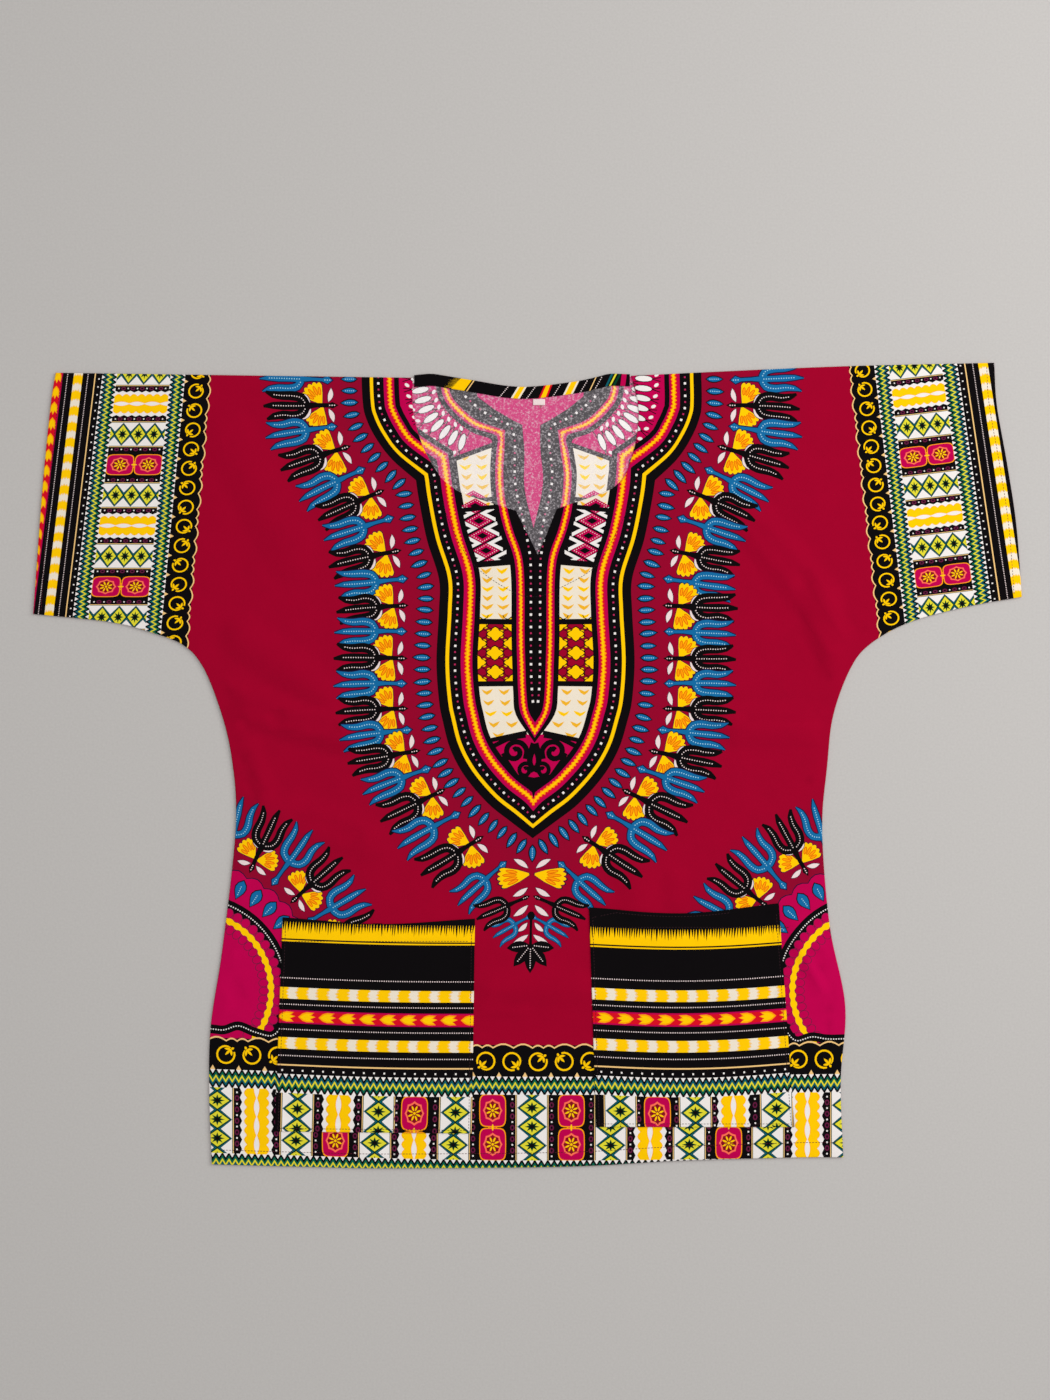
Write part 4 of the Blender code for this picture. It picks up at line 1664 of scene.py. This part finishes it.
class Signal:
    """A number that a shader node gives, with arithmetic that adds Math nodes."""

    def __init__(self, shader: "Shader", socket: bpy.types.NodeSocket) -> None:
        """Keeps the shader and the socket."""
        self.shader, self.socket = shader, socket

    def _math(self, operation: str, first: object, second: object) -> "Signal":
        """A Math node's result."""
        return self.shader.node("ShaderNodeMath", 0, {0: first, 1: second}, operation=operation)

    def __add__(self, other: object) -> "Signal":
        """The sum."""
        return self._math("ADD", self, other)

    __radd__ = __add__

    def __sub__(self, other: object) -> "Signal":
        """The difference."""
        return self._math("SUBTRACT", self, other)

    def __mul__(self, other: object) -> "Signal":
        """The product."""
        return self._math("MULTIPLY", self, other)

    def sine(self) -> "Signal":
        """The sine."""
        return self._math("SINE", self, 0.0)


class Shader:
    """A material and the nodes that feed its surface."""

    def __init__(self, name: str) -> None:
        """Makes a material with a bare Principled surface."""
        self.material = bpy.data.materials.new(name)
        self.material.use_nodes = True
        self.tree = self.material.node_tree
        self.surface = self.tree.nodes["Principled BSDF"]

    def node(self, kind: str, output: int | str, inputs: dict, **settings: object) -> Signal:
        """Adds a node.

        Args:
            kind: The node's type.
            output: The name or number of the output that is used.
            inputs: Values and signals of its inputs, by name or number.
            settings: What is set on the node first.

        Returns:
            The output's signal.
        """
        made = self.tree.nodes.new(kind)
        for key, value in settings.items():
            setattr(made, key, value)
        for key, value in inputs.items():
            self._feed(made.inputs[key], value)
        return Signal(self, made.outputs[output])

    def _feed(self, socket: bpy.types.NodeSocket, value: object) -> None:
        """Links a signal to a socket, or sets the socket's own value."""
        if isinstance(value, Signal):
            self.tree.links.new(value.socket, socket)
        else:
            socket.default_value = value

    def give(self, **inputs: object) -> None:
        """Feeds the surface's inputs, whose names have their spaces as underscores."""
        for key, value in inputs.items():
            self._feed(self.surface.inputs[key.replace("_", " ")], value)

    def place(self) -> Signal:
        """Where a point of the surface is, in metres."""
        return self.node("ShaderNodeTexCoord", "Object", {})

    def noise(self, size: float, detail: float = 2.0, roughness: float = 0.5) -> Signal:
        """Noise from 0 to 1 with grains of a size in metres."""
        return self.node(
            "ShaderNodeTexNoise", 0,
            {"Vector": self.place(), "Scale": 1 / size, "Detail": detail, "Roughness": roughness},
        )


@dataclass(frozen=True)
class Cotton:
    """Plain-woven printed cotton."""

    name: str
    thread: float = 0.42 * MM
    slub: float = 0.10
    fleck: float = 0.0
    roughness: float = 0.86
    specular: float = 0.035
    sheen: float = 0.004

    def material(self) -> bpy.types.Material:
        """The finish as a material."""
        shader = Shader(self.name)
        x, y = self._sides(shader)
        weave = (x * (math.tau / self.thread)).sine() * (y * (math.tau / self.thread)).sine()
        grain = shader.noise(0.9 * MM, 3.0, 0.6)
        mottle = shader.noise(26 * MM, 3.0)
        tone = 1.0 + (grain - 0.5) * self.slub + (mottle - 0.5) * 0.10
        dye = shader.node("ShaderNodeVertexColor", "Color", {}, layer_name="dye")
        colour = shader.node(
            "ShaderNodeMix", 2, {0: 1.0, 6: dye, 7: tone}, data_type="RGBA", blend_type="MULTIPLY"
        )
        if self.fleck:
            grey = shader.noise(1.9 * MM, 3.0, 0.7)
            fleck = shader.node(
                "ShaderNodeMapRange", 0,
                {"Value": grey, "From Min": 0.5, "From Max": 0.68, "To Max": self.fleck},
            )
            colour = shader.node(
                "ShaderNodeMix", 2, {0: fleck, 6: colour, 7: (0.80, 0.72, 0.76, 1.0)}, data_type="RGBA"
            )
        rough = self.roughness + (grain - 0.5) * 0.10
        pucker = shader.node(
            "ShaderNodeBump", 0,
            {"Height": shader.noise(7 * MM, 2.0), "Distance": 0.35 * MM, "Strength": 0.5},
        )
        bump = shader.node(
            "ShaderNodeBump", 0,
            {"Height": weave * 0.6 + grain, "Distance": 0.05 * MM, "Strength": 0.6, "Normal": pucker},
        )
        shader.give(
            Base_Color=colour, Roughness=rough, Normal=bump, Metallic=0.0, Specular_IOR_Level=self.specular,
            Sheen_Weight=self.sheen, Sheen_Roughness=0.6,
        )
        return shader.material

    def _sides(self, shader: Shader) -> tuple[Signal, Signal]:
        """The places along the weft and the warp."""
        parts = shader.node("ShaderNodeSeparateXYZ", 0, {0: shader.place()})
        return parts, Signal(shader, parts.socket.node.outputs[1])


@dataclass(frozen=True)
class Thread:
    """Sewing thread of one colour."""

    name: str
    colour: tuple[float, float, float]
    roughness: float = 0.7

    def material(self) -> bpy.types.Material:
        """The finish as a material."""
        shader = Shader(self.name)
        grain = shader.noise(0.3 * MM, 2.0)
        light, dark = (*self.colour, 1.0), (*[part * 0.7 for part in self.colour], 1.0)
        colour = shader.node("ShaderNodeMix", 2, {0: grain, 6: light, 7: dark}, data_type="RGBA")
        shader.give(Base_Color=colour, Roughness=self.roughness, Specular_IOR_Level=0.25)
        return shader.material


class Stitches:
    """Rows of small stitches, gathered in one piece."""

    LENGTH = 2.7 * MM
    PITCH = 3.1 * MM
    WIDTH = 0.7 * MM

    def __init__(self, name: str) -> None:
        """Starts without a stitch."""
        self.name = name
        self.places: list[tuple[np.ndarray, float, float]] = []

    def row(self, path: np.ndarray, height: Callable[[np.ndarray], np.ndarray]) -> None:
        """Adds a row of stitches along a path.

        Args:
            path: The path, in metres.
            height: The surface's height at points.
        """
        places = np.arange(self.PITCH / 2, Knots.lengths(path)[-1], self.PITCH)
        spots, turns = Knots.along(path, places)
        levels = height(spots)
        self.places += [(spot, turn, level) for spot, turn, level in zip(spots, turns, levels)]

    def build(self, finish: bpy.types.Material) -> bpy.types.Object:
        """The stitches as one object."""
        bpy.ops.object.select_all(action="DESELECT")
        bpy.ops.mesh.primitive_ico_sphere_add(subdivisions=1, radius=self.LENGTH / 2)
        model = bpy.context.object
        bpy.ops.object.mode_set(mode="EDIT")
        bpy.ops.transform.resize(value=(1.0, self.WIDTH / self.LENGTH, 0.45 * self.WIDTH / self.LENGTH))
        bpy.ops.object.mode_set(mode="OBJECT")
        shape = np.array([vertex.co for vertex in model.data.vertices])
        sides = np.array([face.vertices for face in model.data.polygons])
        bpy.data.objects.remove(model)
        spots, faces = [], []
        for number, (spot, turn, level) in enumerate(self.places):
            flat = Knots.turned(shape[:, :2], math.degrees(turn)) + spot
            spots.append(np.column_stack([flat, shape[:, 2] + level]))
            faces.append(sides + number * len(shape))
        mesh = bpy.data.meshes.new(self.name)
        mesh.from_pydata(np.vstack(spots).tolist(), [], np.vstack(faces).tolist())
        mesh.polygons.foreach_set("use_smooth", np.ones(len(mesh.polygons), bool))
        mesh.materials.append(finish)
        piece = bpy.data.objects.new(self.name, mesh)
        bpy.context.scene.collection.objects.link(piece)
        log.info("%s: %d stitches", self.name, len(self.places))
        return piece


@dataclass
class Shirt:
    """The dashiki shirt: its sheets of cloth, its stitches and its finishes."""

    edge_step: float = 5 * MM
    ground: float = 8.0 * MM
    under_ground: float = 10 * MM
    flat_ground: float = 24 * MM
    rims: tuple[float, ...] = (0.35 * MM, 0.9 * MM)
    wall: float = 1.0 * MM
    gap: float = 0.3 * MM
    pocket_hem: float = 26 * MM
    pocket_row: float = 24 * MM
    back_shift: tuple[float, float] = (-2.0, 8.0)
    neck_window: tuple[float, float, float, float] = (-125.0, 195.0, 125.0, 400.0)

    def __post_init__(self) -> None:
        """Makes the finishes and works out how the front lies."""
        self.dyes = Dyes()
        self.cotton = Cotton("printed_cotton").material()
        self.inside = Cotton("cotton_wrong_side", slub=0.6, fleck=0.55).material()
        self.lay = Lay(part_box("front")[0].z)
        self.front_outline = Outline.of_node("front", self.edge_step)
        self.pocket_tops: list[tuple[Outline, Height]] = []

    def build(self) -> None:
        self._back()
        self._front()
        diamonds, medallions, waves = Tile
        self._pocket("pocket_left", PocketPrint(
            tiles_top=(-151.0, -328.5), tilt=-1.3, direction=-1, mouth=2.5,
            tiles=(
                (-78.5, diamonds), (-37.5, waves), (2.5, diamonds), (38.5, medallions), (79.5, diamonds),
            ),
        ))
        self._pocket("pocket_right", PocketPrint(
            tiles_top=(168.5, -326.5), tilt=0.9, direction=1, mouth=-2.5, scale=1.06, sag=4.5,
            tiles=(
                (-76.0, diamonds), (-39.0, medallions), (-1.0, diamonds), (37.0, waves), (80.0, diamonds),
            ),
        ))
        self._facing()
        self._label()
        self._stitch()

    def _own(self, piece: bpy.types.Object, node: str = "") -> bpy.types.Object:
        """Gives a piece its body, and hides the imported node that it stands for."""
        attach(piece, "root")
        if node:
            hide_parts(node)
        return piece

    def _flat(self, level: float) -> Height:
        """A flat side at a level."""
        return lambda spots, inside: np.full(len(spots), level)

    def _back(self) -> None:
        """The back panel, with its print below and the thinner inks of its wrong side above."""
        outline = Outline.of_node("back", self.edge_step)
        art = PanelPrint().draw(self.back_shift)
        left, low, right, high = self.neck_window
        seen = Drawing([
            (spots, ink) for spots, ink in art.shapes
            if spots[:, 0].max() > left and spots[:, 0].min() < right and spots[:, 1].max() > low
            and spots[:, 1].min() < high
        ])
        seen.line([(12.6, 357), (13.6, 359.5), (14.0, 362)], (2.0, 3.2, 1.6), Ink.DARK_RED, 2)
        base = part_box("back")[0].z
        piece = ClothShell(
            "back_panel", outline,
            Net.cut(outline, seen, self.flat_ground, self.rims), Net.cut(outline, art, self.flat_ground),
            lambda spots, inside: base + self.wall + edge_profile(inside, self.wall, -5 * MM),
            self._flat(base), self.dyes.wrong_side, self.dyes.right_side,
        ).build(self.inside, self.cotton)
        self._own(piece, "back")

    def _front(self) -> None:
        """The front panel with its folds."""
        outline = self.front_outline
        art = PanelPrint().draw()
        piece = ClothShell(
            "front_panel", outline,
            Net.cut(outline, art, self.ground, self.rims), Net.cut(outline, Drawing(), self.under_ground),
            self.lay.top, self.lay.under, self.dyes.right_side, self.dyes.wrong_side,
        ).build(self.cotton, self.inside)
        self._own(piece, "front")

    def _pocket(self, node: str, print_: PocketPrint) -> None:
        """A patch pocket on the front."""
        outline = Outline.of_node(node, self.edge_step)
        middle, size = outline.points.mean(0), np.ptp(outline.points, axis=0)
        mouth = outline.points[:, 1].max() - self.pocket_hem

        def under(spots: np.ndarray, inside: np.ndarray) -> np.ndarray:
            """The pocket's underside, a gap above the front."""
            return self.front_top(spots) + self.gap

        def top(spots: np.ndarray, inside: np.ndarray) -> np.ndarray:
            """The pocket's upper side: a slack middle, and a turned mouth."""
            upwards = (spots[:, 1] - middle[1] + size[1] * 0.45) / size[1]
            slack = eased(inside / (60 * MM)) * eased(upwards) * 1.1 * MM
            turned = 0.25 * MM * eased((spots[:, 1] - mouth) / (1.5 * MM))
            level = under(spots, inside) + slack + turned + self.wall
            return level + edge_profile(inside, self.wall, 7 * MM)

        piece = ClothShell(
            node + "_patch", outline, Net.cut(outline, print_.draw(), self.ground, self.rims),
            Net.cut(outline, Drawing(), self.under_ground), top, under,
            self.dyes.right_side, self.dyes.wrong_side,
        ).build(self.cotton, self.inside)
        self._own(piece, node)
        self.pocket_tops.append((outline, top))

    def front_top(self, spots: np.ndarray) -> np.ndarray:
        """The height of the front's upper side."""
        inside, _ = self.front_outline.measure(spots)
        return self.lay.top(spots, inside)

    def _facing(self) -> None:
        """The bias facing along the back neckline."""
        outline = Outline.of_node("neck_facing", 4 * MM)
        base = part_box("neck_facing")[0].z
        left, right = outline.points[:, 0].min(), outline.points[:, 0].max()
        columns = np.linspace(left, right, 60)
        edge = []
        for x in columns:
            near = np.abs(outline.points[:, 0] - x) < 5 * MM
            edge.append(outline.points[near, 1].min())
        edge = Knots.smooth(np.stack([columns, edge], 1)[::6], 2 * MM)

        def lay(spots: np.ndarray) -> np.ndarray:
            """The facing's own places laid along the neckline."""
            low = np.interp(spots[:, 0] * MM, edge[:, 0], edge[:, 1]) / MM
            return np.stack([spots[:, 0], low + spots[:, 1]], 1)

        art = Drawing().fill(Knots.box(-130, 340, 130, 410), Ink.BLACK)
        art.shapes += FacingPrint().draw().bent(lay).shapes
        piece = ClothShell(
            "back_neck_facing", outline, Net.cut(outline, art, self.ground, self.rims),
            Net.cut(outline, Drawing(), self.under_ground),
            lambda spots, inside: base + self.wall + edge_profile(inside, self.wall, 1.4 * MM),
            self._flat(base), self.dyes.right_side, self.dyes.right_side,
        ).build(self.cotton, self.cotton)
        self._own(piece, "neck_facing")

    def _label(self) -> None:
        """The blank size label under the facing."""
        outline = Outline.of_node("size_label", 1 * MM)
        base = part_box("size_label")[0].z
        tape = Cotton("woven_label_tape", thread=0.3 * MM, specular=0.2, roughness=0.55).material()
        white = self.dyes.plain(Ink.PETAL)
        piece = ClothShell(
            "size_label_tape", outline, Net.cut(outline, Drawing(), 1.0 * MM, (0.3 * MM,)),
            Net.cut(outline, Drawing(), 2.0 * MM),
            lambda spots, inside: base + 0.7 * MM + 0.25 * MM * eased(inside / (0.6 * MM)),
            self._flat(base), white, white,
        ).build(tape, tape)
        self._own(piece, "size_label")

    def _stitch(self) -> None:
        """Topstitching on the hems, the cuffs, the pockets and round the neck."""
        level = self.front_top
        hems = Stitches("hem_and_cuff_stitches")
        for knots in (
            ((-0.308, -0.384), (-0.220, -0.3865), (-0.137, -0.388), (0.040, -0.3863), (0.150, -0.3805),
             (0.2625, -0.377), (0.308, -0.3765)),
            ((-0.4860, 0.1545), (-0.4832, 0.2015), (-0.4772, 0.2815), (-0.4692, 0.3605), (-0.4642, 0.3900)),
            ((0.4862, 0.1710), (0.4806, 0.2410), (0.4716, 0.3010), (0.4612, 0.3605), (0.4586, 0.3995)),
        ):
            hems.row(Knots.smooth(knots, 4 * MM), level)
        self._own(hems.build(Thread("wine_thread", (0.10, 0.004, 0.02)).material()))
        neck = Stitches("neck_facing_stitches")
        curve = Knots.smooth((
            (-0.0975, 0.2900), (-0.0875, 0.2685), (-0.0725, 0.2305), (-0.0515, 0.1985), (-0.0165, 0.1745),
            (0.0075, 0.1685), (0.0325, 0.1775), (0.0675, 0.1985), (0.0875, 0.2305), (0.1045, 0.2655),
            (0.1130, 0.2900),
        ), 4 * MM)
        neck.row(curve, level)
        self._own(neck.build(Thread("black_thread", (0.01, 0.008, 0.01)).material()))
        patches = Stitches("pocket_stitches")
        for outline, top in self.pocket_tops:

            def over(spots: np.ndarray, outline: Outline = outline, top: Height = top) -> np.ndarray:
                """The pocket's upper side at places."""
                return top(spots, outline.measure(spots)[0])

            line = outline.inset(3.2 * MM)
            high = outline.points[:, 1].max()
            corner = int(np.argmax(outline.points[:, 1] - outline.points[:, 0] * 0.02))
            path = np.roll(line, -corner, axis=0)
            keep = path[:, 1] < high - 9 * MM
            patches.row(path[keep], over)
            left, right = line[:, 0].min(), line[:, 0].max()
            across = np.linspace(left + 2 * MM, right - 3 * MM, 40)
            patches.row(np.stack([across, np.full(40, high - self.pocket_row)], 1), over)
        self._own(patches.build(Thread("dark_thread", (0.03, 0.006, 0.012)).material()))


@dataclass
class Studio:
    """The pale floor, the soft light and the camera overhead."""

    camera_place: tuple[float, float, float] = (-0.0025, 0.0655, 3.0)
    frame_height: float = 1.4
    sensor: float = 36.0

    def build(self) -> None:
        """Makes the floor, the lights, the world and the camera."""
        self._floor()
        self._lights()
        self._camera()
        bpy.context.scene.view_settings.view_transform = "Standard"

    def _floor(self) -> None:
        """A plain pale floor just under the shirt."""
        bpy.ops.object.select_all(action="DESELECT")
        bpy.ops.mesh.primitive_plane_add(size=8.0, location=(0, 0, -0.0004))
        floor = bpy.context.object
        floor.name = "floor"
        shader = Shader("pale_floor")
        grain = shader.noise(2.2 * MM, 3.0, 0.6)
        dark, light = (0.46, 0.44, 0.425, 1), (0.56, 0.54, 0.52, 1)
        colour = shader.node("ShaderNodeMix", 2, {0: grain, 6: dark, 7: light}, data_type="RGBA")
        shader.give(Base_Color=colour, Roughness=0.9, Specular_IOR_Level=0.1)
        floor.data.materials.append(shader.material)

    def _lights(self) -> None:
        """A large soft light from the right, and a pale world."""
        for name, place, size, power in (
            ("window_light", (1.9, 1.0, 1.7), 1.6, 38.0),
            ("ceiling_light", (0.2, 0.1, 3.6), 3.0, 60.0),
        ):
            data = bpy.data.lights.new(name, "AREA")
            data.shape, data.size, data.energy = "SQUARE", size, power
            lamp = bpy.data.objects.new(name, data)
            bpy.context.scene.collection.objects.link(lamp)
            lamp.location = place
            aim = -np.array(place)
            lamp.rotation_euler = (
                math.acos(-aim[2] / np.linalg.norm(aim)), 0.0, math.atan2(aim[1], aim[0]) - math.pi / 2
            )
        world = bpy.data.worlds.new("pale_world")
        world.use_nodes = True
        world.node_tree.nodes["Background"].inputs["Color"].default_value = (1.0, 0.99, 0.98, 1.0)
        world.node_tree.nodes["Background"].inputs["Strength"].default_value = 0.35
        bpy.context.scene.world = world

    def _camera(self) -> None:
        """A camera that looks straight down."""
        data = bpy.data.cameras.new("overhead")
        data.sensor_fit = "VERTICAL"
        data.sensor_height = self.sensor
        data.lens = self.sensor * self.camera_place[2] / self.frame_height
        camera = bpy.data.objects.new("overhead", data)
        camera.location = self.camera_place
        bpy.context.scene.collection.objects.link(camera)
        bpy.context.scene.camera = camera


def main() -> None:
    """Builds the shirt and the studio."""
    logging.basicConfig(level=logging.INFO, format="%(message)s")
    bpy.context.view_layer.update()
    Shirt().build()
    Studio().build()


if __name__ == "__main__":
    main()
